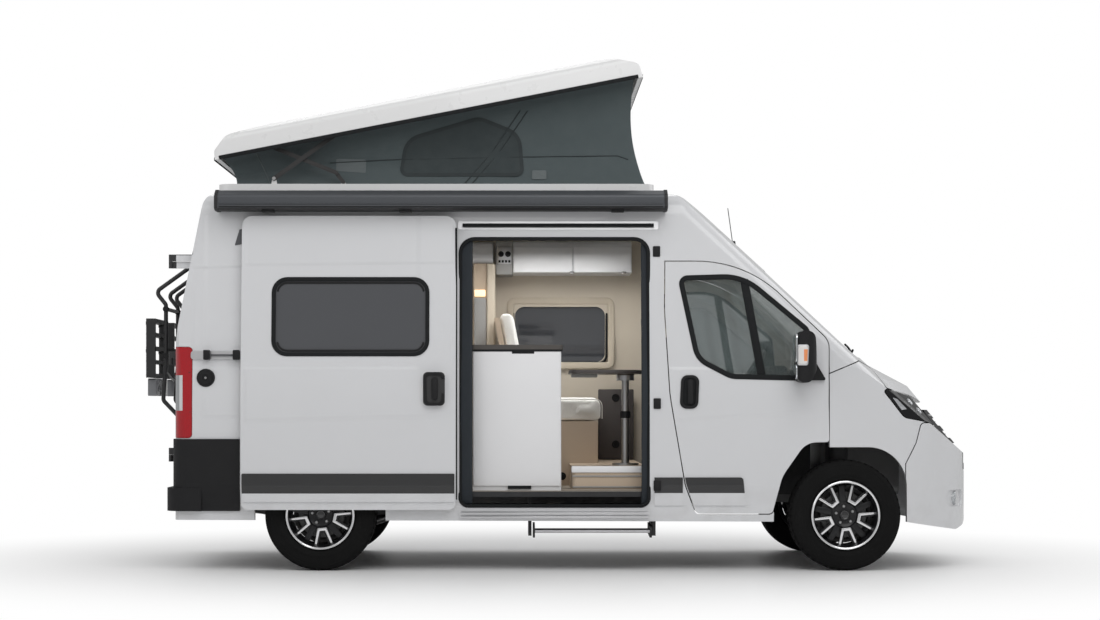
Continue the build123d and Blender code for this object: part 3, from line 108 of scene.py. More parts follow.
# ---------------------------------------------------------------- finishes
class Grain(Enum):
    """The fine surface that a finish has."""

    SMOOTH = "smooth"
    PEEL = "paint peel"
    PEBBLE = "moulded pebble"
    WEAVE = "woven cloth"
    BRUSH = "brushed"
    CAST = "cast"
    MESH = "fly screen"
    TILE = "small tiles"


@dataclass(frozen=True)
class Tone:
    """Colour, roughness and metal share of one stretch of surface."""

    colour: Colour
    rough: float
    metal: float = 0.0


@dataclass(frozen=True)
class Zone:
    """A box of the piece with a tone of its own; inward and down keep it to faces that look so."""

    tone: Tone
    low: Point = WHEREVER
    high: Point = (FAR, FAR, FAR)
    inward: bool = False
    down: bool = False


@dataclass(frozen=True)
class Crease:
    """A pressed line in sheet metal between two (x, z) points; the sheet stands proud above it by depth."""

    start: Flat
    end: Flat
    depth: float
    width: float = 0.012


class Wiring:
    """The nodes of one material, with a short method for each kind that the finishes use."""

    def __init__(self, name: str) -> None:
        """Starts an empty material with one shader."""
        self.material = bpy.data.materials.new(name)
        self.material.use_nodes = True
        self.tree = self.material.node_tree
        self.shader = self.tree.nodes["Principled BSDF"]
        coords = self.tree.nodes.new("ShaderNodeTexCoord")
        self.place = coords.outputs["Object"]
        self.facing = coords.outputs["Normal"]
        self._split: dict[str, Sequence] = {}

    def node(self, kind: str, **values: object) -> bpy.types.Node:
        """Adds a node and sets its plain properties."""
        made = self.tree.nodes.new(kind)
        for key, value in values.items():
            setattr(made, key, value)
        return made

    def link(self, out: object, into: object) -> None:
        """Joins two sockets, or sets the second to a plain value."""
        if isinstance(out, Socket):
            self.tree.links.new(out, into)
        else:
            into.default_value = out

    def axis(self, index: int, what: str = "place") -> Socket:
        """One coordinate of the place or of the normal."""
        if what not in self._split:
            split = self.node("ShaderNodeSeparateXYZ")
            self.link(self.place if what == "place" else self.facing, split.inputs[0])
            self._split[what] = split.outputs
        return self._split[what][index]

    def math(self, operation: str, a: object, b: object = 0.0, c: object = 0.0) -> Socket:
        """One step of arithmetic on sockets or numbers."""
        made = self.node("ShaderNodeMath", operation=operation)
        for value, socket in zip((a, b, c), made.inputs):
            self.link(value, socket)
        return made.outputs[0]

    def noise(self, scale: float, detail: float = 2.0, stretch: Point = (1, 1, 1)) -> Socket:
        """Soft noise over the piece, scaled per axis by stretch.

        Args:
            scale: How fine it is.
            detail: How many finer layers it has.
            stretch: Scale along each axis.

        Returns:
            The noise, from 0 to 1.
        """
        turn = self.node("ShaderNodeMapping")
        turn.inputs["Scale"].default_value = stretch
        self.link(self.place, turn.inputs["Vector"])
        made = self.node("ShaderNodeTexNoise")
        made.inputs["Scale"].default_value = scale
        made.inputs["Detail"].default_value = detail
        self.link(turn.outputs[0], made.inputs["Vector"])
        return made.outputs["Fac"]

    def blend(self, share: object, a: object, b: object) -> Socket:
        """Colour between a and b."""
        made = self.node("ShaderNodeMix", data_type="RGBA")
        self.link(share, made.inputs[0])
        for value, socket in ((a, made.inputs[6]), (b, made.inputs[7])):
            self.link((*value, 1.0) if isinstance(value, tuple) else value, socket)
        return made.outputs[2]

    def between(self, share: object, a: object, b: object) -> Socket:
        """Number between a and b."""
        made = self.node("ShaderNodeMix", data_type="FLOAT")
        for value, socket in zip((share, a, b), (made.inputs[0], made.inputs[2], made.inputs[3])):
            self.link(value, socket)
        return made.outputs[0]

    def ramp(self, value: object, low: float, high: float) -> Socket:
        """0 below low, 1 above high and smooth between."""
        made = self.node("ShaderNodeMapRange", interpolation_type="SMOOTHSTEP")
        self.link(value, made.inputs[0])
        made.inputs[1].default_value = low
        made.inputs[2].default_value = high
        return made.outputs[0]

    def inside(self, zone: Zone) -> Optional[Socket]:
        """1 inside a zone and 0 elsewhere.

        Args:
            zone: The zone.

        Returns:
            The share, or nothing where the zone has no limits.
        """
        tests = []
        for index in range(3):
            for limit, operation in ((zone.low[index], "GREATER_THAN"), (zone.high[index], "LESS_THAN")):
                if abs(limit) < FAR:
                    tests.append(self.math(operation, self.axis(index), limit))
        if zone.inward:
            lean = self.math("MULTIPLY", self.axis(1), self.axis(1, "facing"))
            tests.append(self.math("LESS_THAN", lean, 0.0))
        if zone.down:
            tests.append(self.math("LESS_THAN", self.axis(2, "facing"), FACES_DOWN))
        total = tests[0] if tests else None
        for test in tests[1:]:
            total = self.math("MULTIPLY", total, test)
        return total

    def bump(self, height: object, distance: float, before: object = None) -> Socket:
        """Normal bent by a height, on top of an earlier bend.

        Args:
            height: The height, from 0 to 1.
            distance: How deep the full height is.
            before: The earlier bend.

        Returns:
            The bent normal.
        """
        made = self.node("ShaderNodeBump")
        made.inputs["Distance"].default_value = distance
        self.link(height, made.inputs["Height"])
        if before is not None:
            self.link(before, made.inputs["Normal"])
        return made.outputs[0]


GRAIN_DEPTH = {
    Grain.SMOOTH: 0.00002,
    Grain.PEEL: 0.00004,
    Grain.PEBBLE: 0.0004,
    Grain.WEAVE: 0.0005,
    Grain.BRUSH: 0.00005,
    Grain.CAST: 0.0006,
    Grain.MESH: 0.0008,
    Grain.TILE: 0.0006,
}


@dataclass(frozen=True)
class Finish:
    """One finish of the van: its tone, grain and zones, and the record's slot that it belongs to."""

    name: str
    slot: str
    tone: Tone
    grain: Grain = Grain.SMOOTH
    zones: tuple[Zone, ...] = ()
    creases: tuple[Crease, ...] = ()
    coat: float = 0.0
    sheen: float = 0.0
    clear: float = 0.0
    opacity: float = 1.0
    variation: float = 0.05
    soil: float = 0.0
    glow: float = 0.0
    gloss: float = 0.5

    def material(self) -> bpy.types.Material:
        """Builds the material, or finds it where it is made already.

        Returns:
            The material.
        """
        name = f"van_{self.name}"
        if name in bpy.data.materials:
            return bpy.data.materials[name]
        wiring = Wiring(name)
        shader = wiring.shader.inputs
        wiring.link(self._colour(wiring), shader["Base Color"])
        rough, metal = self._sheen_of_zones(wiring)
        wiring.link(rough, shader["Roughness"])
        wiring.link(metal, shader["Metallic"])
        wiring.link(self._surface(wiring), shader["Normal"])
        shader["Coat Weight"].default_value = self.coat
        shader["Coat Roughness"].default_value = 0.04
        shader["Sheen Weight"].default_value = self.sheen
        shader["Transmission Weight"].default_value = self.clear
        shader["Alpha"].default_value = self.opacity
        shader["Specular IOR Level"].default_value = self.gloss
        if self.glow:
            shader["Emission Color"].default_value = (*self.tone.colour, 1.0)
            shader["Emission Strength"].default_value = self.glow
        return wiring.material

    def _colour(self, wiring: Wiring) -> Socket:
        """Colour with its soft variation, soil towards the ground and zones.

        Args:
            wiring: The material's nodes.

        Returns:
            The colour.
        """
        drift = wiring.noise(3.0, 3.0)
        dark = tuple(c * (1 - self.variation) for c in self.tone.colour)
        light = tuple(min(c * (1 + self.variation), 1.0) for c in self.tone.colour)
        colour = wiring.blend(drift, dark, light)
        if self.grain is Grain.WEAVE:
            thread = wiring.math("MULTIPLY", wiring.ramp(self._weave(wiring), 0.2, 0.8), 0.35)
            colour = wiring.blend(thread, colour, tuple(c * 0.45 for c in self.tone.colour))
        if self.soil:
            low = wiring.math("SUBTRACT", 1.0, wiring.ramp(wiring.axis(2), 0.25, 0.75))
            spots = wiring.math("MULTIPLY", wiring.ramp(wiring.noise(9.0, 6.0), 0.4, 0.7), self.soil)
            colour = wiring.blend(wiring.math("MULTIPLY", low, spots), colour, (0.22, 0.20, 0.17))
        for zone in self.zones:
            share = wiring.inside(zone)
            tone = zone.tone.colour
            patch = wiring.blend(drift, tuple(c * 0.94 for c in tone), tuple(min(c * 1.05, 1) for c in tone))
            colour = wiring.blend(share, colour, patch)
        return colour

    def _sheen_of_zones(self, wiring: Wiring) -> tuple[Socket, object]:
        """Roughness and metal share, with those of the zones."""
        rough = wiring.between(wiring.noise(14.0, 4.0), self.tone.rough * 0.85, min(self.tone.rough * 1.2, 1.0))
        metal = self.tone.metal
        for zone in self.zones:
            share = wiring.inside(zone)
            rough = wiring.between(share, rough, zone.tone.rough)
            if zone.tone.metal != self.tone.metal:
                metal = wiring.between(share, metal, zone.tone.metal)
        return rough, metal

    def _weave(self, wiring: Wiring) -> Socket:
        """Height of crossed threads."""
        waves = [
            wiring.math("SINE", wiring.math("MULTIPLY", wiring.axis(index), 2 * math.pi / WEAVE_PITCH))
            for index in range(3)
        ]
        crossed = wiring.math("MULTIPLY", wiring.math("MULTIPLY", waves[0], waves[1]), waves[2])
        return wiring.math("ADD", wiring.math("MULTIPLY", crossed, 0.5), 0.5)

    def _surface(self, wiring: Wiring) -> Socket:
        """Fine grain, with the pressed creases over it.

        Args:
            wiring: The material's nodes.

        Returns:
            The bent normal.
        """
        heights = {
            Grain.SMOOTH: lambda: wiring.noise(60.0, 2.0),
            Grain.PEEL: lambda: wiring.noise(240.0, 2.0),
            Grain.PEBBLE: lambda: wiring.noise(700.0, 1.0),
            Grain.WEAVE: lambda: self._weave(wiring),
            Grain.BRUSH: lambda: wiring.noise(300.0, 3.0, (0.05, 1, 1)),
            Grain.CAST: lambda: wiring.noise(220.0, 5.0),
            Grain.MESH: lambda: wiring.noise(900.0, 0.0),
            Grain.TILE: lambda: wiring.noise(90.0, 1.0, (1, 1, 0.2)),
        }
        normal = wiring.bump(heights[self.grain](), GRAIN_DEPTH[self.grain])
        for crease in self.creases:
            (x0, z0), (x1, z1) = crease.start, crease.end
            slope = (z1 - z0) / (x1 - x0)
            line = wiring.math("MULTIPLY_ADD", wiring.axis(0), slope, z0 - slope * x0)
            off = wiring.math("SUBTRACT", wiring.axis(2), line)
            step = wiring.ramp(off, -crease.width, crease.width)
            begun = wiring.ramp(wiring.axis(0), x0 - CREASE_FADE, x0 + CREASE_FADE)
            ended = wiring.ramp(wiring.axis(0), x1 - CREASE_FADE, x1 + CREASE_FADE)
            ends = wiring.math("MULTIPLY", begun, wiring.math("SUBTRACT", 1.0, ended))
            normal = wiring.bump(wiring.math("MULTIPLY", step, ends), crease.depth, normal)
        return normal


WHITE = Tone((0.63, 0.635, 0.65), 0.24)
CABIN_TRIM = Tone((0.46, 0.43, 0.38), 0.6)
LINING = Tone((0.62, 0.55, 0.45), 0.6)
BLACK_TRIM = Tone((0.010, 0.010, 0.011), 0.6)
HEADLINER = Tone((0.55, 0.54, 0.52), 0.8)


def body_paint(name: str, zones: tuple[Zone, ...] = (), creases: tuple[Crease, ...] = ()) -> Finish:
    """White body paint under clear lacquer, with a panel's own zones and creases."""
    return Finish(
        name, "white_paint", WHITE, Grain.PEEL, zones, creases, coat=0.6, variation=0.012, soil=0.10
    )


# the black rub strip on both sides of a panel, where it stands proud of the skin
RUB_ZONES = (
    Zone(BLACK_TRIM, (-FAR, -FAR, 0.427), (FAR, -1.0256, 0.617)),
    Zone(BLACK_TRIM, (-FAR, 1.0256, 0.427), (FAR, FAR, 0.617)),
)
SIDE_CREASES = (
    Crease((TAIL + 0.12, 1.992), (-2.10, 2.000), 0.004),
    Crease((TAIL + 0.12, 1.330), (-0.60, 1.330), -0.005),
    Crease((TAIL + 0.20, 1.010), (-0.60, 0.985), 0.004, 0.020),
)
SLIDER_CREASES = (
    Crease((-2.08, 2.008), (-0.72, 2.020), 0.004),
    Crease((-2.08, 1.330), (-0.95, 1.330), -0.005),
    Crease((-2.08, 0.985), (-0.72, 1.020), 0.005, 0.022),
)
DOOR_CREASES = (
    Crease((0.70, 0.985), (1.72, 1.050), 0.004, 0.020),
    Crease((0.70, 1.330), (1.00, 1.330), -0.004),
)
# the hinges of the rear doors
HINGE_ZONES = tuple(
    Zone(BLACK_TRIM, (-FAR, low_y, low_z), (front, high_y, high_z))
    for low_y, high_y in ((-FAR, -0.5), (0.5, FAR))
    for front, low_z, high_z in ((-2.562, -FAR, FAR), (-2.440, 2.080, 2.240))
)
SIDE_PAINT = body_paint(
    "side_paint", (*RUB_ZONES, *HINGE_ZONES, Zone(LINING, WHEREVER, (0.9, FAR, 2.5), True)), SIDE_CREASES
)
DOOR_PAINT = body_paint("cab_door_paint", (*RUB_ZONES, Zone(CABIN_TRIM, inward=True)), DOOR_CREASES)
SLIDER_PAINT = body_paint(
    "slider_paint",
    (
        Zone(BLACK_TRIM, (-FAR, -FAR, 0.452), (FAR, -1.0915, 0.644)),
        Zone(BLACK_TRIM, (-0.94, -FAR, 1.08), (-0.74, -1.096, 1.31)),
        Zone(LINING, inward=True),
    ),
    SLIDER_CREASES,
)
PANEL_PAINT = body_paint("panel_paint", HINGE_ZONES)
ROOF_PAINT = body_paint("roof_paint", (Zone(HEADLINER, inward=True), Zone(HEADLINER, down=True)))
CAB_PAINT = body_paint("cab_paint", (Zone(HEADLINER, inward=True),))
BUMPER_PAINT = body_paint("bumper_paint")
GELCOAT = Finish("gelcoat", "white_gelcoat", Tone((0.72, 0.72, 0.72), 0.28), Grain.SMOOTH, coat=0.3, variation=0.02)
CLEAR_GLASS = Finish("clear_glass", "glass", Tone((0.80, 0.88, 0.86), 0.03), clear=0.9, opacity=0.45)
CAB_GLASS = Finish("cab_door_glass", "tinted_glass", Tone((0.14, 0.18, 0.18), 0.03), clear=0.7, opacity=0.50)
DARK_GLASS = Finish("privacy_glass", "tinted_glass", Tone((0.055, 0.058, 0.065), 0.05), coat=1.0)
MOULDED_BLACK = Finish("moulded_black", "black_plastic", Tone((0.010, 0.010, 0.011), 0.55), Grain.PEBBLE, gloss=0.25)
GLOSS_BLACK = Finish("gloss_black", "black_plastic", Tone((0.010, 0.010, 0.011), 0.12), coat=0.8)
SEAL_RUBBER = Finish("seal_rubber", "black_plastic", Tone((0.010, 0.011, 0.012), 0.7), Grain.PEBBLE, gloss=0.2)
CHASSIS = Finish("chassis_paint", "chassis_black", Tone((0.030, 0.030, 0.032), 0.6), Grain.CAST, soil=0.2)
CAST_METAL = Finish("cast_metal", "cast_iron", Tone((0.16, 0.16, 0.16), 0.5, 0.6), Grain.CAST)
PLAIN_STEEL = Finish("plain_steel", "brushed_steel", Tone((0.42, 0.42, 0.42), 0.35, 1.0), Grain.BRUSH)
LINK_STEEL = Finish("link_steel", "link_steel", Tone((0.035, 0.034, 0.034), 0.5), Grain.SMOOTH, gloss=0.3)
SATIN_ALUMINIUM = Finish("satin_aluminium", "aluminium", Tone((0.62, 0.62, 0.63), 0.3, 1.0), Grain.BRUSH)
STEP_METAL = Finish(
    "step_metal", "aluminium", Tone((0.50, 0.50, 0.51), 0.38, 0.9), Grain.BRUSH,
    (
        Zone(BLACK_TRIM, WHEREVER, (-0.186, FAR, FAR)),
        Zone(BLACK_TRIM, (0.565, -FAR, -FAR)),
    ),
)
AWNING_GREY = Finish(
    "awning_grey", "awning_grey", Tone((0.075, 0.080, 0.088), 0.38, 0.35), Grain.BRUSH,
    (
        Zone(BLACK_TRIM, WHEREVER, (-2.256, FAR, FAR)),
        Zone(BLACK_TRIM, (0.656, -FAR, -FAR)),
        Zone(BLACK_TRIM, WHEREVER, (FAR, FAR, 2.374)),
    ),
)
TENT_CLOTH = Finish("tent_cloth", "tent_fabric", Tone((0.072, 0.092, 0.096), 0.85), Grain.WEAVE, sheen=0.2)
RACK_BLACK = Finish("rack_black", "rack_black", Tone((0.022, 0.022, 0.023), 0.4, 0.2), Grain.SMOOTH)
TYRE_RUBBER = Finish("tyre_rubber", "tyre_rubber", Tone((0.007, 0.007, 0.007), 0.8), Grain.PEBBLE, gloss=0.12)
BLACK_ALLOY = Finish("black_alloy", "black_alloy", Tone((0.008, 0.008, 0.009), 0.3), coat=0.15, gloss=0.3)
LAMINATE = Finish("white_laminate", "white_laminate", Tone((0.76, 0.76, 0.77), 0.35), Grain.PEBBLE, variation=0.01)
KITCHEN_BOARD = Finish(
    "kitchen_board", "white_laminate", Tone((0.72, 0.72, 0.73), 0.35), Grain.PEBBLE,
    (
        Zone(Tone((0.075, 0.068, 0.062), 0.3), (-FAR, -0.95, 1.452), (0.02, -0.39, 1.492)),
        Zone(Tone((0.45, 0.45, 0.46), 0.25, 0.9), (-0.515, -0.825, 1.340), (-0.125, -0.515, 1.4865)),
    ),
    variation=0.01,
)
TABLE_TOP = Finish(
    "table_top", "beige_laminate", Tone((0.085, 0.072, 0.062), 0.35), Grain.PEBBLE,
    (Zone(Tone((0.45, 0.45, 0.46), 0.3, 1.0), WHEREVER, (FAR, FAR, 1.290)),),
)
CARPET = Finish("cab_carpet", "dark_trim", Tone((0.030, 0.030, 0.031), 0.9), Grain.WEAVE)
BEIGE_BOARD = Finish("beige_board", "beige_laminate", Tone((0.50, 0.40, 0.30), 0.45), Grain.PEBBLE)
SEAT_CLOTH = Finish("seat_cloth", "seat_fabric", Tone((0.82, 0.81, 0.77), 0.8), Grain.WEAVE, sheen=0.3)
MATTRESS_CLOTH = Finish("mattress_cloth", "mattress_fabric", Tone((0.50, 0.48, 0.45), 0.85), Grain.WEAVE)
CAB_CLOTH = Finish("cab_cloth", "cab_fabric", Tone((0.035, 0.035, 0.038), 0.85), Grain.WEAVE, sheen=0.2)
DASH_PLASTIC = Finish("dash_plastic", "dark_trim", Tone((0.030, 0.030, 0.032), 0.6), Grain.PEBBLE)
LAMP_RED = Finish(
    "lamp_red", "lamp_red", Tone((0.36, 0.002, 0.008), 0.15), Grain.SMOOTH,
    (
        Zone(Tone((0.62, 0.63, 0.64), 0.12), (-FAR, -FAR, 1.052), (-2.499, FAR, 1.284)),
        Zone(Tone((0.30, 0.31, 0.32), 0.15), (-FAR, -FAR, 1.052), (-2.523, FAR, 1.284)),
    ),
    coat=0.6, gloss=0.3,
)
LAMP_DARK = Finish("lamp_housing", "lamp_clear", Tone((0.012, 0.012, 0.013), 0.35), coat=0.05, gloss=0.15)
REFLECTOR = Finish(
    "lamp_reflector", "lamp_clear", Tone((0.50, 0.51, 0.53), 0.20, 0.6), Grain.TILE, coat=1.0, variation=0.25
)
LIGHT_GUIDE = Finish("light_guide", "lamp_clear", Tone((0.82, 0.84, 0.86), 0.15), coat=1.0)
LAMP_CLEAR = Finish("lamp_clear", "lamp_clear", Tone((0.75, 0.78, 0.80), 0.05), clear=0.6, coat=1.0)
JAMB_GREY = Finish("jamb_grey", "dark_trim", Tone((0.022, 0.027, 0.033), 0.6), Grain.PEBBLE, gloss=0.25)
MACHINED = Finish("machined_face", "aluminium", Tone((0.78, 0.78, 0.79), 0.16, 1.0), Grain.BRUSH, coat=0.5)
CHROME = Finish("chrome", "brushed_steel", Tone((0.72, 0.72, 0.73), 0.10, 1.0), variation=0.02)
MIRROR_GLASS = Finish("mirror_glass", "brushed_steel", Tone((0.70, 0.72, 0.74), 0.03, 1.0), variation=0.01)
INDICATOR = Finish(
    "indicator_lens", "lamp_clear", Tone((0.72, 0.70, 0.68), 0.10), Grain.BRUSH,
    (Zone(Tone((0.80, 0.28, 0.10), 0.12), (1.545, -FAR, 1.372), (FAR, FAR, 1.448)),), coat=1.0,
)
GREY_PLASTIC = Finish("grey_plastic", "dark_trim", Tone((0.085, 0.088, 0.095), 0.45), Grain.PEBBLE)
SMOKED_PLASTIC = Finish("smoked_plastic", "dark_trim", Tone((0.16, 0.165, 0.175), 0.18), coat=0.6)
PLATE_WHITE = Finish("plate_white", "white_laminate", Tone((0.66, 0.66, 0.65), 0.35), Grain.PEEL)
DEEP_RED = Finish("deep_red", "lamp_red", Tone((0.16, 0.004, 0.005), 0.15), coat=1.0)
MESH_CLOTH = Finish("tent_mesh", "tent_fabric", Tone((0.030, 0.040, 0.042), 0.75), Grain.MESH)
TENT_BAND = Finish("tent_band", "tent_fabric", Tone((0.028, 0.036, 0.038), 0.8), Grain.WEAVE)
TENT_PATCH = Finish("tent_patch", "tent_fabric", Tone((0.125, 0.145, 0.148), 0.7), Grain.WEAVE)
CABIN_GREY = Finish("cabin_grey", "dark_trim", Tone((0.30, 0.295, 0.285), 0.5), Grain.PEBBLE)
CABIN_BEIGE = Finish("cabin_beige", "beige_laminate", Tone((0.56, 0.49, 0.39), 0.5), Grain.PEBBLE)
DARK_BOARD = Finish("dark_board", "dark_trim", Tone((0.060, 0.052, 0.050), 0.5), Grain.PEBBLE)
FLOOR_VINYL = Finish("floor_vinyl", "beige_laminate", Tone((0.26, 0.22, 0.18), 0.5), Grain.TILE, variation=0.2)
WARM_LIGHT = Finish("warm_light", "lamp_clear", Tone((0.95, 0.70, 0.42), 0.4), glow=0.9)
SEAT_PIPING = Finish("seat_piping", "seat_fabric", Tone((0.70, 0.68, 0.63), 0.7), Grain.WEAVE)
CAB_LEATHER = Finish("cab_leather", "dark_trim", Tone((0.028, 0.028, 0.030), 0.5), Grain.CAST, coat=0.15)
PAN = Finish(
    "floor_pan", "chassis_black", Tone((0.028, 0.028, 0.030), 0.65), Grain.CAST,
    (Zone(Tone((0.30, 0.27, 0.23), 0.5), (-2.50, -0.99, FLOOR - 0.004), (1.37, 0.99, FLOOR + 0.002)),),
)

NODE_FINISHES: dict[str, Finish] = {
    "underbody": PAN, "cab_floor": CARPET, "chassis": CHASSIS, "side_right": SIDE_PAINT, "side_left": SIDE_PAINT,
    "roof_panel": ROOF_PAINT, "cab_shell": CAB_PAINT, "windscreen": CLEAR_GLASS, "fenders": PANEL_PAINT,
    "bonnet": PANEL_PAINT, "headlamps": LAMP_DARK, "grille": MOULDED_BLACK, "front_bumper": BUMPER_PAINT,
    "tail_lamps": LAMP_RED, "rear_bumper": MOULDED_BLACK, "sliding_door": SLIDER_PAINT, "windows": DARK_GLASS,
    "door_rails": SATIN_ALUMINIUM, "engine": CAST_METAL, "front_subframe": CHASSIS, "rear_axle": CHASSIS,
    "exhaust": PLAIN_STEEL, "roof_frame": GELCOAT, "roof_shell": GELCOAT, "long_arm": LINK_STEEL,
    "cross_arm": LINK_STEEL, "short_link": LINK_STEEL, "tent": TENT_CLOTH, "awning": AWNING_GREY,
    "entry_step": STEP_METAL, "kitchen": KITCHEN_BOARD, "furniture": BEIGE_BOARD, "cushions": SEAT_CLOTH,
    "table": TABLE_TOP, "mattress": MATTRESS_CLOTH, "dashboard": DASH_PLASTIC, "steering_wheel": DASH_PLASTIC,
    "cab_seats": CAB_CLOTH, "cab_door": DOOR_PAINT, "cab_glass": CAB_GLASS, "mirror": MOULDED_BLACK,
    "rear_door": PANEL_PAINT, "rear_glass": DARK_GLASS, "rack": RACK_BLACK, "knuckle": CHASSIS, "tyre": TYRE_RUBBER,
    "rim": BLACK_ALLOY,
}


# ---------------------------------------------------------------- camera, light and floor
@dataclass
class Studio:
    """Plain white studio: one camera square to the van's right side, soft lamps and a pale floor."""

    camera_place: Point = (-0.279, -15.02, 1.095)
    lens: float = 69.87
    view_shift: Flat = (0.0264, 0.0855)
    floor_size: float = 60.0
    floor_fade: Flat = (1.6, 4.6)      # distances between which the floor goes over to plain white
    lamps: tuple[tuple[Point, float, float], ...] = (
        ((1.5, -6.5, 6.5), 6.0, 230.0), ((-5.0, -4.0, 5.0), 5.0, 70.0),
        ((5.5, 0.5, 4.5), 4.0, 70.0), ((-1.0, 4.5, 6.0), 5.0, 90.0),
    )
    cabin_lamps: tuple[tuple[Point, float, float], ...] = (
        ((-0.05, -0.15, 2.20), 0.9, 16.0), ((-1.30, 0.0, 2.15), 0.9, 8.0), ((0.86, 0.0, 2.02), 0.45, 5.0),
    )

    def build(self) -> None:
        """Makes the camera, lamps, world and floor."""
        scene = bpy.context.scene
        scene.view_settings.view_transform = "Standard"
        bpy.ops.object.camera_add(location=self.camera_place, rotation=(math.pi / 2, 0, 0))
        camera = bpy.context.object
        camera.data.lens = self.lens
        camera.data.shift_x, camera.data.shift_y = self.view_shift
        scene.camera = camera
        for place, size, power in self.lamps:
            lamp = self.lamp(place, size, power)
            lamp.rotation_euler = (Vector(UP) - Vector(place)).to_track_quat("-Z", "Y").to_euler()
        for place, size, power in self.cabin_lamps:
            lamp = self.lamp(place, size, power)
            lamp.visible_camera = lamp.visible_transmission = lamp.visible_glossy = False
        self.world()
        self.floor()

    def lamp(self, place: Point, size: float, power: float) -> Piece:
        """Adds one soft lamp that shines down.

        Args:
            place: Where it hangs.
            size: The side of its square face.
            power: Its power in watts.

        Returns:
            The lamp.
        """
        bpy.ops.object.light_add(type="AREA", location=place)
        lamp = bpy.context.object
        lamp.data.size = size
        lamp.data.energy = power
        return lamp

    def world(self) -> None:
        """White world, at full strength for the camera and for reflections."""
        world = bpy.data.worlds.new("studio")
        bpy.context.scene.world = world
        world.use_nodes = True
        tree = world.node_tree
        back = tree.nodes["Background"]
        back.inputs["Color"].default_value = (1.0, 1.0, 1.0, 1.0)
        back.inputs["Strength"].default_value = 0.50
        seen = tree.nodes.new("ShaderNodeBackground")
        rays = tree.nodes.new("ShaderNodeLightPath")
        pick = tree.nodes.new("ShaderNodeMixShader")
        seen.inputs["Color"].default_value = (1.0, 1.0, 1.0, 1.0)
        tree.links.new(rays.outputs["Is Camera Ray"], pick.inputs[0])
        tree.links.new(back.outputs[0], pick.inputs[1])
        tree.links.new(seen.outputs[0], pick.inputs[2])
        tree.links.new(pick.outputs[0], tree.nodes["World Output"].inputs[0])

    def floor(self) -> None:
        """Pale floor that keeps the van's shadow and fades to white away from it."""
        Shop.start()
        bpy.ops.mesh.primitive_grid_add(x_subdivisions=8, y_subdivisions=8, size=self.floor_size)
        floor = bpy.context.object
        floor.name = "studio_floor"
        wiring = Wiring("studio_floor")
        pale = wiring.blend(wiring.noise(0.7), (0.90, 0.90, 0.90), (0.93, 0.93, 0.93))
        wiring.link(pale, wiring.shader.inputs["Base Color"])
        wiring.shader.inputs["Roughness"].default_value = 0.45
        along = wiring.math("POWER", wiring.math("MULTIPLY", wiring.axis(0), 0.85), 2.0)
        away = wiring.math("SQRT", wiring.math("ADD", along, wiring.math("POWER", wiring.axis(1), 2.0)))
        glow = wiring.node("ShaderNodeEmission")
        mix = wiring.node("ShaderNodeMixShader")
        rays = wiring.node("ShaderNodeLightPath")
        share = wiring.math("MULTIPLY", wiring.ramp(away, *self.floor_fade), rays.outputs["Is Camera Ray"])
        wiring.link(share, mix.inputs[0])
        wiring.link(wiring.shader.outputs[0], mix.inputs[1])
        wiring.link(glow.outputs[0], mix.inputs[2])
        wiring.link(mix.outputs[0], wiring.tree.nodes["Material Output"].inputs[0])
        floor.data.materials.append(wiring.material)


# ---------------------------------------------------------------- modelling
class Axis(Enum):
    """The direction that a plate is as thick along; its outline lies square to it."""

    X = 0
    Y = 1
    Z = 2


def rounded(rows: Sequence[Row], steps: int = 4) -> list[Flat]:
    """Points round an outline of (u, v, corner radius) rows.

    Args:
        rows: The outline's corners, each with the radius that rounds it.
        steps: How many stretches a rounded corner gets.

    Returns:
        The points in order, without a repeat of the first.
    """
    points: list[Flat] = []
    for i, (u, v, radius) in enumerate(rows):
        corner = Vector((u, v))
        if radius <= 0:
            points.append((u, v))
            continue
        before = (Vector(rows[i - 1][:2]) - corner).normalized()
        after = (Vector(rows[(i + 1) % len(rows)][:2]) - corner).normalized()
        half = before.angle(after) / 2
        reach = radius / math.tan(half)
        middle = corner + (before + after).normalized() * (radius / math.sin(half))
        start, end = corner + before * reach - middle, corner + after * reach - middle
        turn = start.angle_signed(end)
        for step in range(steps + 1):
            angle = -turn * step / steps
            spot = middle + Matrix.Rotation(angle, 2) @ start
            points.append((spot.x, spot.y))
    return points


def inset_rows(rows: Sequence[Row], amount: float) -> list[Row]:
    """The same outline with each side moved in by amount, or out where it is negative.

    Args:
        rows: The outline's corners.
        amount: How far each side moves.

    Returns:
        The moved corners, with fitting radii.
    """
    count = len(rows)
    area = sum(rows[i - 1][0] * rows[i][1] - rows[i][0] * rows[i - 1][1] for i in range(count))
    side = 1.0 if area > 0 else -1.0
    moved = []
    for i, (u, v, radius) in enumerate(rows):
        before = (Vector((u, v)) - Vector(rows[i - 1][:2])).normalized()
        after = (Vector(rows[(i + 1) % count][:2]) - Vector((u, v))).normalized()
        n0, n1 = Vector((-before.y, before.x)) * side, Vector((-after.y, after.x)) * side
        shift = (n0 + n1) * (amount / (1 + n0.dot(n1)))
        moved.append((u + shift.x, v + shift.y, max(radius - amount, 0.0) if radius > 0 else 0.0))
    return moved


def box_rows(u: Flat, v: Flat, radius: float) -> list[Row]:
    """Rows of a rectangle with rounded corners."""
    return [(u[0], v[0], radius), (u[1], v[0], radius), (u[1], v[1], radius), (u[0], v[1], radius)]


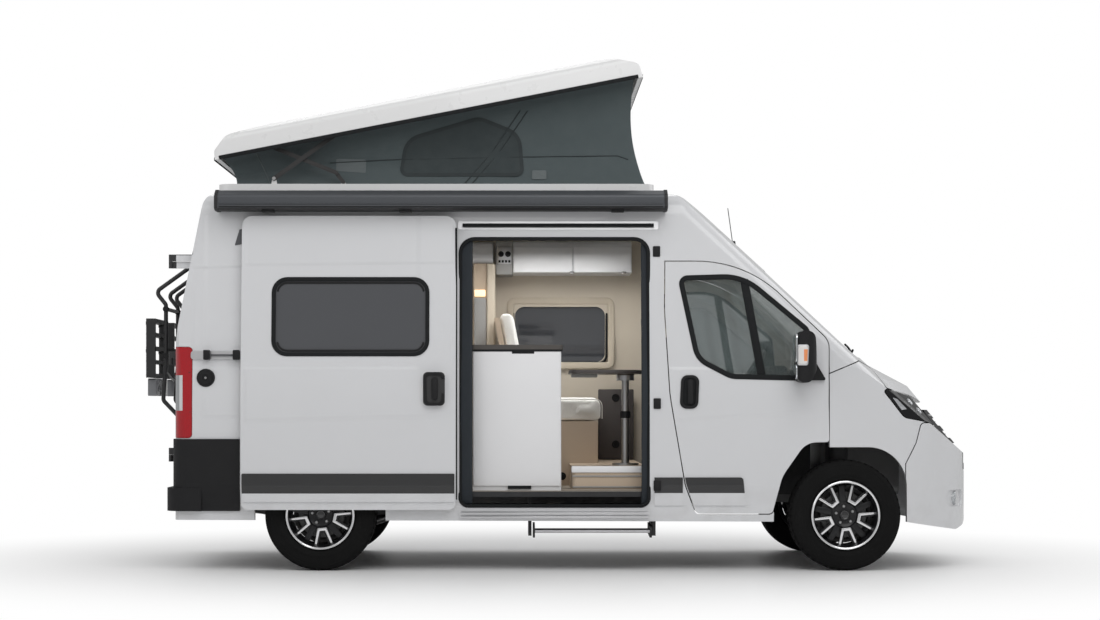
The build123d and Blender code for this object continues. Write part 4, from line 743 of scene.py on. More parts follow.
class Shop:
    """Hand tools: each starts from a primitive and shapes it in edit mode."""

    NUDGES = (0.0, 0.012, -0.012, 0.03, -0.03, 0.06, -0.06)    # heights that are tried where a ray finds a gap
    SKIN_OUT = 0.6                                             # a hit nearer to the centre plane is no skin

    @staticmethod
    def start() -> None:
        """Leaves edit mode and deselects everything."""
        if bpy.context.object and bpy.context.object.mode != "OBJECT":
            bpy.ops.object.mode_set(mode="OBJECT")
        bpy.ops.object.select_all(action="DESELECT")

    @staticmethod
    def take(piece: Piece) -> None:
        """Selects one piece alone and makes it active."""
        Shop.start()
        piece.select_set(True)
        bpy.context.view_layer.objects.active = piece

    @staticmethod
    def open(piece: Piece) -> None:
        """Takes a piece into edit mode with all of it selected."""
        Shop.take(piece)
        bpy.ops.object.mode_set(mode="EDIT")
        bpy.ops.mesh.select_all(action="SELECT")

    @staticmethod
    def close() -> None:
        """Goes back to object mode."""
        bpy.ops.object.mode_set(mode="OBJECT")

    @staticmethod
    def block(name: str, low: Point, high: Point, bevel: float = 0.003, segments: int = 2) -> Piece:
        """A cube primitive at its size and place, with its edges bevelled.

        Args:
            name: The piece's name.
            low: Its lowest corner.
            high: Its highest corner.
            bevel: Width of the softened edges.
            segments: Steps across a softened edge.

        Returns:
            The piece.
        """
        Shop.start()
        centre = [(a + b) / 2 for a, b in zip(low, high)]
        size = [b - a for a, b in zip(low, high)]
        bpy.ops.mesh.primitive_cube_add(size=1, location=centre, scale=size)
        piece = bpy.context.object
        piece.name = name
        bpy.ops.object.transform_apply(location=True, rotation=True, scale=True)
        Shop.open(piece)
        bpy.ops.mesh.bevel(offset=min(bevel, min(size) * 0.45), segments=segments, affect="EDGES")
        Shop.close()
        return piece

    @staticmethod
    def trace(name: str, points: Sequence[Point], face: bool = True) -> Piece:
        """One vertex extruded from point to point, and filled where face is asked; stays in edit mode.

        Args:
            name: The piece's name.
            points: The points in order.
            face: Whether the outline is filled.

        Returns:
            The piece, in edit mode.
        """
        Shop.start()
        bpy.ops.mesh.primitive_plane_add(size=0.01, location=points[0])
        piece = bpy.context.object
        piece.name = name
        bpy.ops.object.transform_apply(location=True, rotation=True, scale=True)
        Shop.open(piece)
        bpy.ops.mesh.merge(type="CENTER")
        for a, b in zip(points, points[1:]):
            bpy.ops.mesh.extrude_region_move(TRANSFORM_OT_translate={"value": Vector(b) - Vector(a)})
        bpy.ops.mesh.select_all(action="SELECT")
        if face:
            bpy.ops.mesh.edge_face_add()
        return piece

    @staticmethod
    def thicken(piece: Piece, way: Point, ring: float, bevel: float) -> Piece:
        """Extrudes a traced outline and softens its edges.

        Args:
            piece: The outline, in edit mode with all of it selected.
            way: How far and which way it is extruded.
            ring: Width of the ring that is kept, or 0 for the whole face.
            bevel: Width of the softened edges, or 0 for sharp ones.

        Returns:
            The same piece, in object mode.
        """
        if ring:
            bpy.ops.mesh.inset(thickness=ring)
            bpy.ops.mesh.delete(type="FACE")
            bpy.ops.mesh.select_all(action="SELECT")
        bpy.ops.mesh.extrude_region_move(TRANSFORM_OT_translate={"value": way})
        bpy.ops.mesh.select_all(action="SELECT")
        bpy.ops.mesh.normals_make_consistent(inside=False)
        Shop.close()
        if bevel:
            Shop.soften(piece, bevel)
        return piece

    @staticmethod
    def place(axis: Axis, u: float, v: float, depth: float) -> Point:
        """The point at (u, v) of an outline square to the axis, at one depth along it."""
        return ((depth, u, v), (u, depth, v), (u, v, depth))[axis.value]

    @staticmethod
    def plate(
        name: str, rows: Sequence[Row], axis: Axis, span: Flat, bevel: float = 0.002, ring: float = 0.0,
        steps: int = 4,
    ) -> Piece:
        """A traced outline extruded along an axis, as a ring of one width where ring is given.

        Args:
            name: The piece's name.
            rows: The outline's corners.
            axis: The direction that it is thick along.
            span: Where it starts and ends along the axis.
            bevel: Width of the softened edges.
            ring: Width of the ring, or 0 for the whole face.
            steps: Stretches of a rounded corner.

        Returns:
            The piece.
        """
        piece = Shop.trace(name, [Shop.place(axis, u, v, span[0]) for u, v in rounded(rows, steps)])
        return Shop.thicken(piece, Shop.place(axis, 0, 0, span[1] - span[0]), ring, bevel)

    @staticmethod
    def patch(
        name: str, rows: Sequence[Row], skin: Piece, out: float, thick: float, ring: float = 0.0,
        side: int = -1, bevel: float = 0.0015, steps: int = 4,
    ) -> Piece:
        """A plate or ring in (x, z) laid on a node's outer side, out from it by a clearance.

        Args:
            name: The piece's name.
            rows: The outline's corners.
            skin: The node that it lies on.
            out: Clearance from what it lies on.
            thick: Its thickness.
            ring: Width of the ring, or 0 for the whole face.
            side: -1 on the right, 1 on the left.
            bevel: Width of the softened edges.
            steps: Stretches of a rounded corner.

        Returns:
            The piece.
        """
        points = [(u, Shop.skin(skin, u, v, side) + side * out, v) for u, v in rounded(rows, steps)]
        return Shop.thicken(Shop.trace(name, points), (0, side * thick, 0), ring, bevel)

    @staticmethod
    def skin(node: Piece, x: float, z: float, side: int = -1) -> float:
        """Where a node's outer side lies at (x, z), or the nearest height at which it has one.

        Args:
            node: The node that it lies on.
            x: Place along the van.
            z: Height.
            side: -1 on the right, 1 on the left.

        Returns:
            Its place across the van.
        """
        for nudge in Shop.NUDGES:
            start = Vector((x, side * RAY_START["side"], z + nudge))
            hit, spot, _, _ = node.ray_cast(start, Vector((0, -side, 0)))
            if hit and abs(spot.y) > Shop.SKIN_OUT:
                return spot.y
        return side * HALF_WIDTH

    @staticmethod
    def lathe(
        name: str, profile: Sequence[Flat], centre: Point, steps: int = 48, axis: Point = (0, 1, 0)
    ) -> Piece:
        """A profile of (radius, distance along the axis) spun round the axis through centre.

        Args:
            name: The piece's name.
            profile: Its points, from one end of the axis to the other.
            centre: A point of the axis.
            steps: Stretches of the full turn.
            axis: The axis's direction.

        Returns:
            The piece.
        """
        way = Vector(axis).normalized()
        out = way.orthogonal().normalized()
        points = [tuple(Vector(centre) + out * radius + way * along) for radius, along in profile]
        piece = Shop.trace(name, points, face=False)
        bpy.ops.mesh.spin(steps=steps, angle=2 * math.pi, center=centre, axis=tuple(way))
        bpy.ops.mesh.select_all(action="SELECT")
        bpy.ops.mesh.remove_doubles(threshold=MERGE_GAP)
        bpy.ops.mesh.normals_make_consistent(inside=False)
        Shop.close()
        return piece

    @staticmethod
    def tube(name: str, points: Sequence[Point], radius: float, bend: float = 0.0, facets: int = 3) -> Piece:
        """A round bar along points, with its corners rounded by bend.

        Args:
            name: The piece's name.
            points: The points in order.
            radius: Half its thickness.
            bend: How far each corner is rounded, or 0.
            facets: How finely it is rounded.

        Returns:
            The piece.
        """
        piece = Shop.trace(name, points, face=False)
        if bend and len(points) > 2:
            bpy.ops.mesh.select_all(action="DESELECT")
            Shop.close()
            for vertex in piece.data.vertices:
                vertex.select = not any((vertex.co - Vector(end)).length < 1e-4 for end in (points[0], points[-1]))
            bpy.ops.object.mode_set(mode="EDIT")
            bpy.ops.mesh.bevel(offset=bend, offset_type="OFFSET", segments=5, affect="VERTICES", clamp_overlap=True)
        Shop.close()
        Shop.take(piece)
        bpy.ops.object.convert(target="CURVE")
        piece = bpy.context.object
        piece.data.bevel_depth = radius
        piece.data.bevel_resolution = facets
        piece.data.use_fill_caps = True
        bpy.ops.object.convert(target="MESH")
        return bpy.context.object

    @staticmethod
    def modify(piece: Piece, kind: str, **values: object) -> None:
        """Adds a modifier of a kind with its values, and applies it."""
        Shop.take(piece)
        made = piece.modifiers.new(kind.lower(), kind)
        for key, value in values.items():
            setattr(made, key, value)
        bpy.ops.object.modifier_apply(modifier=made.name)

    @staticmethod
    def soften(piece: Piece, width: float) -> None:
        """Bevels a piece's sharp edges."""
        Shop.modify(piece, "BEVEL", width=width, segments=2, limit_method="ANGLE", angle_limit=SHARP)

    @staticmethod
    def copy(piece: Piece, name: str) -> Piece:
        """A copy of a piece with its own mesh."""
        Shop.take(piece)
        bpy.ops.object.duplicate(linked=False)
        made = bpy.context.object
        made.name = name
        return made

    @staticmethod
    def turn(piece: Piece, angle: float) -> None:
        """Turns a piece's mesh about the y axis."""
        Shop.open(piece)
        bpy.ops.transform.rotate(value=angle, orient_axis="Y", center_override=ORIGIN)
        Shop.close()

    @staticmethod
    def join(name: str, *pieces: Piece) -> Piece:
        """Pieces joined into one object."""
        Shop.take(pieces[0])
        for piece in pieces[1:]:
            piece.select_set(True)
        bpy.ops.object.join()
        pieces[0].name = name
        return pieces[0]

    @staticmethod
    def flip(piece: Piece) -> Piece:
        """Mirrors a piece's mesh through the centre plane, with its faces kept outwards."""
        Shop.open(piece)
        bpy.ops.transform.resize(value=(1, -1, 1), center_override=ORIGIN)
        bpy.ops.mesh.flip_normals()
        Shop.close()
        return piece

    @staticmethod
    def shift(piece: Piece, move: Point) -> None:
        """Moves a piece's mesh."""
        Shop.open(piece)
        bpy.ops.transform.translate(value=move)
        Shop.close()

    @staticmethod
    def follow(piece: Piece, skin: Piece, level: float = 1.15) -> None:
        """Leans a piece of the doorway inwards with height, as the wall beside it does."""
        middle, rear_wall, front_wall = -0.06, -0.720, 0.616
        for vertex in piece.data.vertices:
            x = rear_wall if vertex.co.x < middle else front_wall
            vertex.co.y += Shop.skin(skin, x, vertex.co.z) - Shop.skin(skin, x, level)

    @staticmethod
    def rows_of(piece: Piece, cuts: int) -> None:
        """Divides a piece so that it can follow a curve."""
        Shop.open(piece)
        bpy.ops.mesh.subdivide(number_cuts=cuts)
        Shop.close()

    @staticmethod
    def nose_x(nodes: Sequence[Piece], y: float, z: float) -> float:
        """How far forward any of the nodes reaches at (y, z).

        Args:
            nodes: The nodes that it may lie on.
            y: Place across the van.
            z: Height.

        Returns:
            The furthest place along the van.
        """
        reach = []
        for node in nodes:
            hit, spot, _, _ = node.ray_cast(Vector((RAY_START["nose"], y, z)), Vector((-1, 0, 0)))
            if hit:
                reach.append(spot.x)
        return max(reach, default=NOSE)

    @staticmethod
    def lean_top(piece: Piece, level: float, slope: float) -> None:
        """Leans the upper part of a front backwards."""
        for vertex in piece.data.vertices:
            vertex.co.y += max(vertex.co.z - level, 0.0) * slope

    @staticmethod
    def thin_wall(piece: Piece, thick: float) -> None:
        """Gives a sheet its thickness, half to each side."""
        Shop.modify(piece, "SOLIDIFY", thickness=thick, offset=0.0)

    @staticmethod
    def press_flat(piece: Piece, y: float, share: float) -> None:
        """Presses a piece towards the plane at y, to a share of its distance."""
        for vertex in piece.data.vertices:
            vertex.co.y = y + (vertex.co.y - y) * share

    @staticmethod
    def bowed(
        name: str, half: float, z: Flat, nodes: Sequence[Piece], out: float, thick: float,
        bevel: float = 0.003, level: Optional[float] = None,
    ) -> Piece:
        """A strip across the nose that follows its curve, out from it by a clearance; level keeps it upright.

        Args:
            name: The piece's name.
            half: Half its length.
            z: Its lower and upper edge.
            nodes: The nodes that it may lie on.
            out: Clearance from what it lies on.
            thick: Its thickness.
            bevel: Width of the softened edges.
            level: The height whose curve it follows all over.

        Returns:
            The piece.
        """
        piece = Shop.block(name, (-thick, -half, z[0]), (0.0, half, z[1]), bevel)
        Shop.rows_of(piece, 7)
        for vertex in piece.data.vertices:
            vertex.co.x += Shop.nose_x(nodes, vertex.co.y, level or vertex.co.z) + out
        return piece


@dataclass
class Assembly:
    """A group of pieces that belong together, set against the frame's nodes."""

    frame: dict

    @property
    def nodes(self) -> dict:
        """The frame's nodes by name."""
        return self.frame["nodes"]

    def put(
        self, piece: Piece, finish: Finish, body: str = "van", *replaced: str, smooth: float = 35.0
    ) -> Piece:
        """Dresses a piece, sets it on its body and reports it.

        Args:
            piece: The piece, in place.
            finish: What it is made of.
            body: The body that it moves with.
            replaced: The nodes that it stands for.
            smooth: The angle in degrees up to which edges are shaded smooth.

        Returns:
            The same piece.
        """
        Shop.take(piece)
        piece.data.materials.clear()
        piece.data.materials.append(finish.material())
        bpy.ops.object.shade_smooth_by_angle(angle=math.radians(smooth))
        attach(piece, body)
        if replaced:
            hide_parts(*replaced)
        LOG.info("piece %s on %s: %s", piece.name, body, finish.name)
        return piece

    def put_pair(self, piece: Piece, finish: Finish, body: str) -> None:
        """Puts a right-hand piece and its mirror image on the bodies of the two sides."""
        twin = Shop.flip(Shop.copy(piece, piece.name.replace("_right", "_left")))
        self.put(piece, finish, body.format("right"))
        self.put(twin, finish, body.format("left"))


# ---------------------------------------------------------------- wheels
@dataclass
class Wheels(Assembly):
    """Four tyres on black alloy wheels whose forked spokes have bright machined faces."""

    tyre_radius: float = TYRE_R
    half_width: float = 0.1125
    tread_steps: int = 72
    groove: float = 0.007
    seat: float = 0.207
    lip: float = 0.225
    spoke_face: float = 0.066      # outer face of the spokes, out from the tyre's middle
    forks: int = 5
    first_fork: float = math.radians(-84.0)

    def build(self) -> None:
        """Builds one tyre and one wheel, and copies them to the four places."""
        places = (
            ("front_right", FRONT_AXLE, -1, WHEEL_OUT[0]), ("front_left", FRONT_AXLE, 1, WHEEL_OUT[0]),
            ("rear_right", REAR_AXLE, -1, WHEEL_OUT[1]), ("rear_left", REAR_AXLE, 1, WHEEL_OUT[1]),
        )
        parts = (
            (self.tyre(), TYRE_RUBBER, "tyre"), (self.rim(), BLACK_ALLOY, "rim"), (self.faces(), MACHINED, ""),
            (self.bolts(), PLAIN_STEEL, ""), (self.disc(), CAST_METAL, ""), (self.cap(), GLOSS_BLACK, ""),
            (self.shield(), CHASSIS, ""),
        )
        for piece, finish, node in parts:
            base = piece.name
            for name, x, side, out in places:
                made = Shop.copy(piece, f"{base}_{name}")
                if side > 0:
                    Shop.flip(made)
                Shop.shift(made, (x, side * out, self.tyre_radius))
                replaced = (f"{node}_{name}",) if node else ()
                self.put(made, finish, f"wheel_{name}", *replaced)
            bpy.data.objects.remove(piece)

    def tyre(self) -> Piece:
        """Tyre on the right side, round the origin: bead, ribbed side walls, shoulders and grooved tread."""
        r, h = self.tyre_radius, self.half_width
        wall = [
            (self.seat, h - 0.024), (self.seat + 0.013, h - 0.018), (self.lip + 0.004, h - 0.013), (0.236, h - 0.010),
            (0.240, h - 0.005), (0.262, h - 0.001), (0.268, h + 0.001), (0.272, h + 0.001), (0.276, h - 0.001),
            (0.300, h), (0.322, h - 0.001), (0.327, h - 0.003), (0.331, h - 0.002), (0.340, h - 0.006),
            (0.350, h - 0.011), (r - 0.007, h - 0.019), (r - 0.002, h - 0.030), (r - 0.001, h - 0.038),
        ]
        crown = []
        for middle in (0.054, 0.020):
            for across, depth in ((0.005, 0.0), (0.0035, self.groove), (-0.0035, self.groove), (-0.005, 0.0)):
                crown.append((r - depth - 0.0005 * (depth == 0), middle + across))
        half = wall + crown
        profile = half + [(radius, -along) for radius, along in reversed(half)]
        piece = Shop.lathe("tyre_tread", profile, ORIGIN, self.tread_steps * 2)
        Shop.open(piece)
        bpy.ops.mesh.select_all(action="DESELECT")
        Shop.close()
        for face in piece.data.polygons:
            spot = face.center
            out = math.hypot(spot.x, spot.z)
            step = int((math.atan2(spot.z, spot.x) + math.pi) / (2 * math.pi) * self.tread_steps * 2)
            block = abs(spot.y) > h - 0.034 and out > r - 0.020
            rib = abs(spot.y) < 0.048 and out > r - 0.002 and abs(abs(spot.y) - 0.020) > 0.0055
            face.select = (block and step % 3 == 0) or (rib and (step + (spot.y > 0)) % 4 == 0)
        bpy.ops.object.mode_set(mode="EDIT")
        bpy.ops.mesh.extrude_region_shrink_fatten(TRANSFORM_OT_shrink_fatten={"value": -self.groove * 0.7})
        Shop.close()
        return piece

    def rim(self) -> Piece:
        """Black barrel with its inner wall, hub and the five forked spokes, round the origin."""
        h, lip, seat = self.half_width, self.lip, self.seat
        barrel = Shop.lathe("rim_barrel", [
            (seat, -h + 0.020), (lip + 0.001, -h + 0.013), (lip + 0.002, -h + 0.004), (lip - 0.004, -h + 0.001),
            (lip - 0.012, -h + 0.004), (lip - 0.018, -h + 0.016), (lip - 0.024, -h + 0.030), (lip - 0.030, 0.0),
            (lip - 0.030, h - 0.030), (lip - 0.018, h - 0.004), (lip + 0.001, h - 0.002), (lip + 0.001, h - 0.014),
            (seat, h - 0.024),
        ], ORIGIN, 72)
        face = -self.spoke_face
        hub = Shop.lathe("rim_hub", [
            (0.0, face + 0.024), (0.0, face + 0.010), (0.034, face + 0.010), (0.037, face + 0.014),
            (0.060, face + 0.014), (0.078, face + 0.004), (0.086, face + 0.010), (0.090, face + 0.034),
            (0.070, face + 0.052), (0.0, face + 0.052),
        ], ORIGIN, 48)
        pieces = [barrel, hub]
        for i in range(self.forks):
            turn = self.first_fork + 2 * math.pi * i / self.forks
            spoke = Shop.plate("rim_spoke", self.fork_rows(0.014), Axis.Y, (face + 0.0005, face + 0.036), 0.003)
            Shop.turn(spoke, turn - math.pi / 2)
            pieces.append(spoke)
            arm = Shop.plate(
                "rim_arm", [(-0.024, 0.070, 0), (0.024, 0.070, 0), (0.018, 0.197, 0), (-0.018, 0.197, 0)],
                Axis.Y, (face + 0.014, face + 0.040), 0.004,
            )
            Shop.turn(arm, turn - math.pi / 2 + math.pi / self.forks)
            pieces.append(arm)
        return Shop.join("rim_black", *pieces)

    def fork_rows(self, extra: float) -> list[Row]:
        """Outline of one fork, open towards the rim, with extra width on its inner sides."""
        low, foot = 0.086, 0.105
        return [
            (-0.029, low, 0.004), (0.029, low, 0.004), (0.063, 0.203, 0), (0.051 - extra, 0.206, 0),
            (0.018 - extra / 2, foot + extra, 0.004), (-0.018 + extra / 2, foot + extra, 0.004),
            (-0.051 + extra, 0.206, 0), (-0.063, 0.203, 0),
        ]

    def faces(self) -> Piece:
        """Machined ring round the lip and the machined faces of the forks."""
        h, lip, face = self.half_width, self.lip, -self.spoke_face
        ring = Shop.lathe("rim_ring", [
            (lip - 0.012, -h + 0.0035), (lip - 0.012, -h + 0.0015), (lip - 0.004, -h - 0.0010),
            (lip + 0.0005, -h + 0.002),
        ], ORIGIN, 96)
        pieces = [ring]
        for i in range(self.forks):
            turn = self.first_fork + 2 * math.pi * i / self.forks
            fork = Shop.plate("rim_fork", self.fork_rows(0.0), Axis.Y, (face - 0.002, face + 0.001), 0.0008)
            Shop.turn(fork, turn - math.pi / 2)
            pieces.append(fork)
        return Shop.join("rim_machined", *pieces)

    def bolts(self) -> Piece:
        """Five wheel bolts in their recesses."""
        pieces = []
        for i in range(self.forks):
            angle = self.first_fork + 2 * math.pi * (i + 0.5) / self.forks
            spot = (0.057 * math.cos(angle), -self.spoke_face + 0.012, 0.057 * math.sin(angle))
            bolt = Shop.lathe(
                "bolt", [(0.0, 0.006), (0.011, 0.006), (0.011, -0.002), (0.008, -0.007), (0.0, -0.008)], spot, 6
            )
            pieces.append(bolt)
        return Shop.join("wheel_bolts", *pieces)

    def disc(self) -> Piece:
        """Brake disc behind the spokes."""
        back = -self.spoke_face + 0.060
        return Shop.lathe("brake_disc", [
            (0.055, back - 0.006), (0.082, back - 0.006), (0.086, back + 0.004), (0.150, back + 0.004),
            (0.153, back + 0.007), (0.153, back + 0.024), (0.150, back + 0.027), (0.055, back + 0.027),
        ], ORIGIN, 64)

    def shield(self) -> Piece:
        """Pressed shield behind the brake disc."""
        back = -self.spoke_face + 0.094
        return Shop.lathe("brake_shield", [
            (0.055, back), (0.160, back), (0.166, back - 0.012), (0.186, back - 0.012), (0.186, back - 0.008),
            (0.168, back - 0.008), (0.162, back + 0.004), (0.055, back + 0.004),
        ], ORIGIN, 56)

    def cap(self) -> Piece:
        """Plain centre cap with a rounded edge."""
        face = -self.spoke_face
        return Shop.lathe("centre_cap", [
            (0.0, face + 0.012), (0.031, face + 0.012), (0.032, face + 0.002), (0.029, face - 0.002),
            (0.024, face - 0.001), (0.022, face + 0.001), (0.0, face - 0.001),
        ], ORIGIN, 40)


# ---------------------------------------------------------------- outside of the body
@dataclass
class CabDoors(Assembly):
    """Window frames, divider bars, handles and mirror details of both cab doors."""

    glass: tuple[Row, ...] = (
        (0.768, 1.925, 0.040), (1.180, 1.938, 0.350), (1.602, 1.585, 0.060), (1.637, 1.262, 0.040),
        (1.100, 1.275, 0.150), (0.880, 1.390, 0.150),
    )
    divider: tuple[Row, ...] = ((1.162, 1.922, 0), (1.216, 1.920, 0), (1.328, 1.278, 0), (1.274, 1.278, 0))
    handle: tuple[Flat, Flat] = ((0.760, 0.892), (1.064, 1.285))
    indicator: tuple[Row, ...] = (
        (1.510, 1.352, 0.012), (1.566, 1.352, 0.012), (1.572, 1.470, 0.012), (1.512, 1.470, 0.012),
    )
    indicator_rim: tuple[Row, ...] = (
        (1.503, 1.344, 0.014), (1.573, 1.344, 0.014), (1.580, 1.478, 0.014), (1.504, 1.478, 0.014),
    )

    def build(self) -> None:
        """Builds the right-hand pieces and mirrors them to the left."""
        skin = self.nodes["cab_door_right"]
        body = CAB_DOOR_BODY
        frame = Shop.patch("window_rubber_right", inset_rows(self.glass, -0.016), skin, -0.005, 0.009, 0.034, steps=7)
        self.put_pair(frame, SEAL_RUBBER, body)
        divider = Shop.patch("window_divider_right", self.divider, self.nodes["cab_glass_right"], 0.001, 0.007)
        self.put_pair(divider, SEAL_RUBBER, body)
        (x0, x1), (z0, z1) = self.handle
        rows = [(x0, z0, 0.045), (x1 - 0.01, z0, 0.045), (x1, z1, 0.045), (x0 + 0.012, z1, 0.045)]
        cup = Shop.patch("door_handle_cup_right", rows, skin, 0.0005, 0.009, 0.020, bevel=0.003, steps=6)
        self.put_pair(cup, MOULDED_BLACK, body)
        dish = Shop.patch("door_handle_dish_right", inset_rows(rows, 0.012), skin, -0.001, 0.003, steps=6)
        self.put_pair(dish, SEAL_RUBBER, body)
        middle = (x0 + x1) / 2 + 0.006
        grip = box_rows((middle - 0.019, middle + 0.019), (z0 + 0.030, z1 - 0.028), 0.016)
        bar = Shop.patch("door_handle_grip_right", grip, skin, 0.006, 0.014, bevel=0.005, steps=5)
        self.put_pair(bar, MOULDED_BLACK, body)
        self.mirrors()

    def mirrors(self) -> None:
        """Indicator, shell line and glass of the two mirrors."""
        body = CAB_DOOR_BODY
        lamp = Shop.plate("mirror_indicator_right", self.indicator, Axis.Y, (-1.262, -1.205), 0.004)
        self.put_pair(lamp, INDICATOR, body)
        self.put_pair(Shop.plate(
            "mirror_indicator_rim_right", self.indicator_rim, Axis.Y, (-1.258, -1.240), 0.003, ring=0.010
        ), SATIN_ALUMINIUM, body)
        for name, low, high in (("upper", 1.365, 1.548), ("lower", 1.258, 1.352)):
            rows = box_rows((-1.222, -1.075), (low, high), 0.025)
            pane = Shop.plate(f"mirror_glass_{name}_right", rows, Axis.X, (1.499, 1.512), 0.002)
            self.put_pair(pane, MIRROR_GLASS, body)


@dataclass
class SlidingDoor(Assembly):
    """Window frame, handle and edge seals of the open sliding door."""

    window: tuple[Flat, Flat] = ((-1.899, -0.890), (1.419, 1.915))
    handle: tuple[Flat, Flat] = ((-0.917, -0.774), (1.084, 1.304))
    edge: tuple[Point, ...] = ((-0.7035, -1.060, 0.470), (-0.7035, -1.066, 1.2), (-0.7035, -1.010, 2.25))

    def build(self) -> None:
        """Builds the door's pieces."""
        skin = self.nodes["sliding_door"]
        rows = box_rows(*self.window, 0.090)
        outer = Shop.patch("slider_window_rubber", inset_rows(rows, -0.012), skin, -0.004, 0.009, 0.026, steps=8)
        self.put(outer, SEAL_RUBBER)
        line = Shop.patch("slider_window_frame", inset_rows(rows, 0.020), skin, -0.012, 0.011, 0.012, steps=8)
        self.put(line, MOULDED_BLACK)
        (x0, x1), (z0, z1) = self.handle
        rows = [(x0 + 0.006, z0, 0.045), (x1 - 0.004, z0, 0.045), (x1, z1 - 0.005, 0.045), (x0, z1, 0.045)]
        cup = Shop.patch("slider_handle_cup", rows, skin, 0.0005, 0.008, 0.020, bevel=0.003, steps=6)
        self.put(cup, MOULDED_BLACK)
        middle = (x0 + x1) / 2 + 0.004
        grip = box_rows((middle - 0.020, middle + 0.020), (z0 + 0.035, z1 - 0.035), 0.016)
        self.put(Shop.patch("slider_handle_grip", grip, skin, 0.004, 0.013, bevel=0.005, steps=5), MOULDED_BLACK)
        self.put(Shop.tube("slider_edge_seal", self.edge, 0.007), SEAL_RUBBER)


@dataclass
class Bodyside(Assembly):
    """Doorway seal, rails, latches, the socket cap, the vent and the left window's frame."""

    doorway: tuple[Flat, Flat] = ((-0.684, 0.566), (0.420, 2.190))
    socket: Flat = (-2.346, 1.267)
    vent: tuple[Row, ...] = (
        (-2.165, 2.140, 0.004), (-2.118, 2.148, 0.004), (-2.100, 2.252, 0.004), (-2.135, 2.246, 0.004),
    )

    def build(self) -> None:
        """Builds the pieces of both side walls."""
        skin = self.nodes["side_right"]
        (x0, x1), (z0, z1) = self.doorway
        opening = [(x0, z0, 0.060), (x1, z0, 0.060), (x1, z1, 0.100), (x0, z1, 0.100)]
        edge = Shop.plate(
            "doorway_seal", inset_rows(opening, -0.006), Axis.Y, (-1.030, -0.975), 0.004, ring=0.022, steps=8
        )
        Shop.follow(edge, skin)
        self.put(edge, SEAL_RUBBER)
        for name, u0, u1 in (("rear", x0 + 0.008, x0 + 0.086), ("front", x1 - 0.052, x1 - 0.008)):
            jamb = Shop.block(f"doorway_jamb_{name}", (u0, -1.002, z0 + 0.018), (u1, -0.962, z1 - 0.014), 0.008, 3)
            Shop.rows_of(jamb, 10)
            Shop.follow(jamb, skin)
            self.put(jamb, JAMB_GREY)
        for name, z in (("upper", 2.10), ("middle", 1.098), ("lower", 0.560)):
            y = Shop.skin(skin, 0.614, z)
            self.put(Shop.block(
                f"pillar_latch_{name}", (0.590, y - 0.012, z - 0.035), (0.638, y + 0.012, z + 0.035), 0.006
            ), MOULDED_BLACK)
        for i, z in enumerate((0.352, 0.378)):
            rail = Shop.block(f"sill_rail_{i}", (x0 + 0.01, -1.042, z - 0.007), (x1 - 0.01, -1.028, z + 0.007), 0.003)
            self.put(rail, SATIN_ALUMINIUM)
        slot = Shop.block("upper_rail_slot", (x0 + 0.02, -0.972, 2.262), (x1 + 0.03, -0.952, 2.284), 0.003)
        self.put(slot, SEAL_RUBBER)
        self.quarter(skin)
        ring = inset_rows(box_rows((-0.324, 0.349), (1.409, 1.821), 0.080), -0.014)
        piece = Shop.patch("side_window_rubber", ring, self.nodes["side_left"], -0.004, 0.009, 0.030, side=1, steps=8)
        self.put(piece, SEAL_RUBBER)

    def quarter(self, skin: Piece) -> None:
        """The round socket cap, the slanted vent and the end pieces of the middle rail."""
        x, z = self.socket
        y = Shop.skin(skin, x, z)
        self.put(Shop.lathe("socket_cap", [
            (0.0, -0.014), (0.020, -0.014), (0.024, -0.018), (0.042, -0.017), (0.046, -0.012), (0.057, -0.011),
            (0.060, -0.006), (0.060, 0.004), (0.0, 0.004),
        ], (x, y, z), 48), MOULDED_BLACK)
        self.put(Shop.lathe(
            "socket_lock", [(0.0, -0.021), (0.007, -0.020), (0.008, -0.012), (0.0, -0.012)], (x, y, z), 20
        ), PLAIN_STEEL)
        self.put(Shop.patch("side_vent", self.vent, skin, -0.001, 0.005), GREY_PLASTIC)
        for i, (u0, u1) in enumerate(((-2.358, -2.316), (-2.165, -2.122))):
            self.put(Shop.block(f"rail_end_{i}", (u0, -1.062, 1.384), (u1, -1.016, 1.449), 0.006), MOULDED_BLACK)
        self.put(Shop.block("rail_slot", (-2.312, -1.0405, 1.410), (-2.168, -1.034, 1.422), 0.002), GREY_PLASTIC)


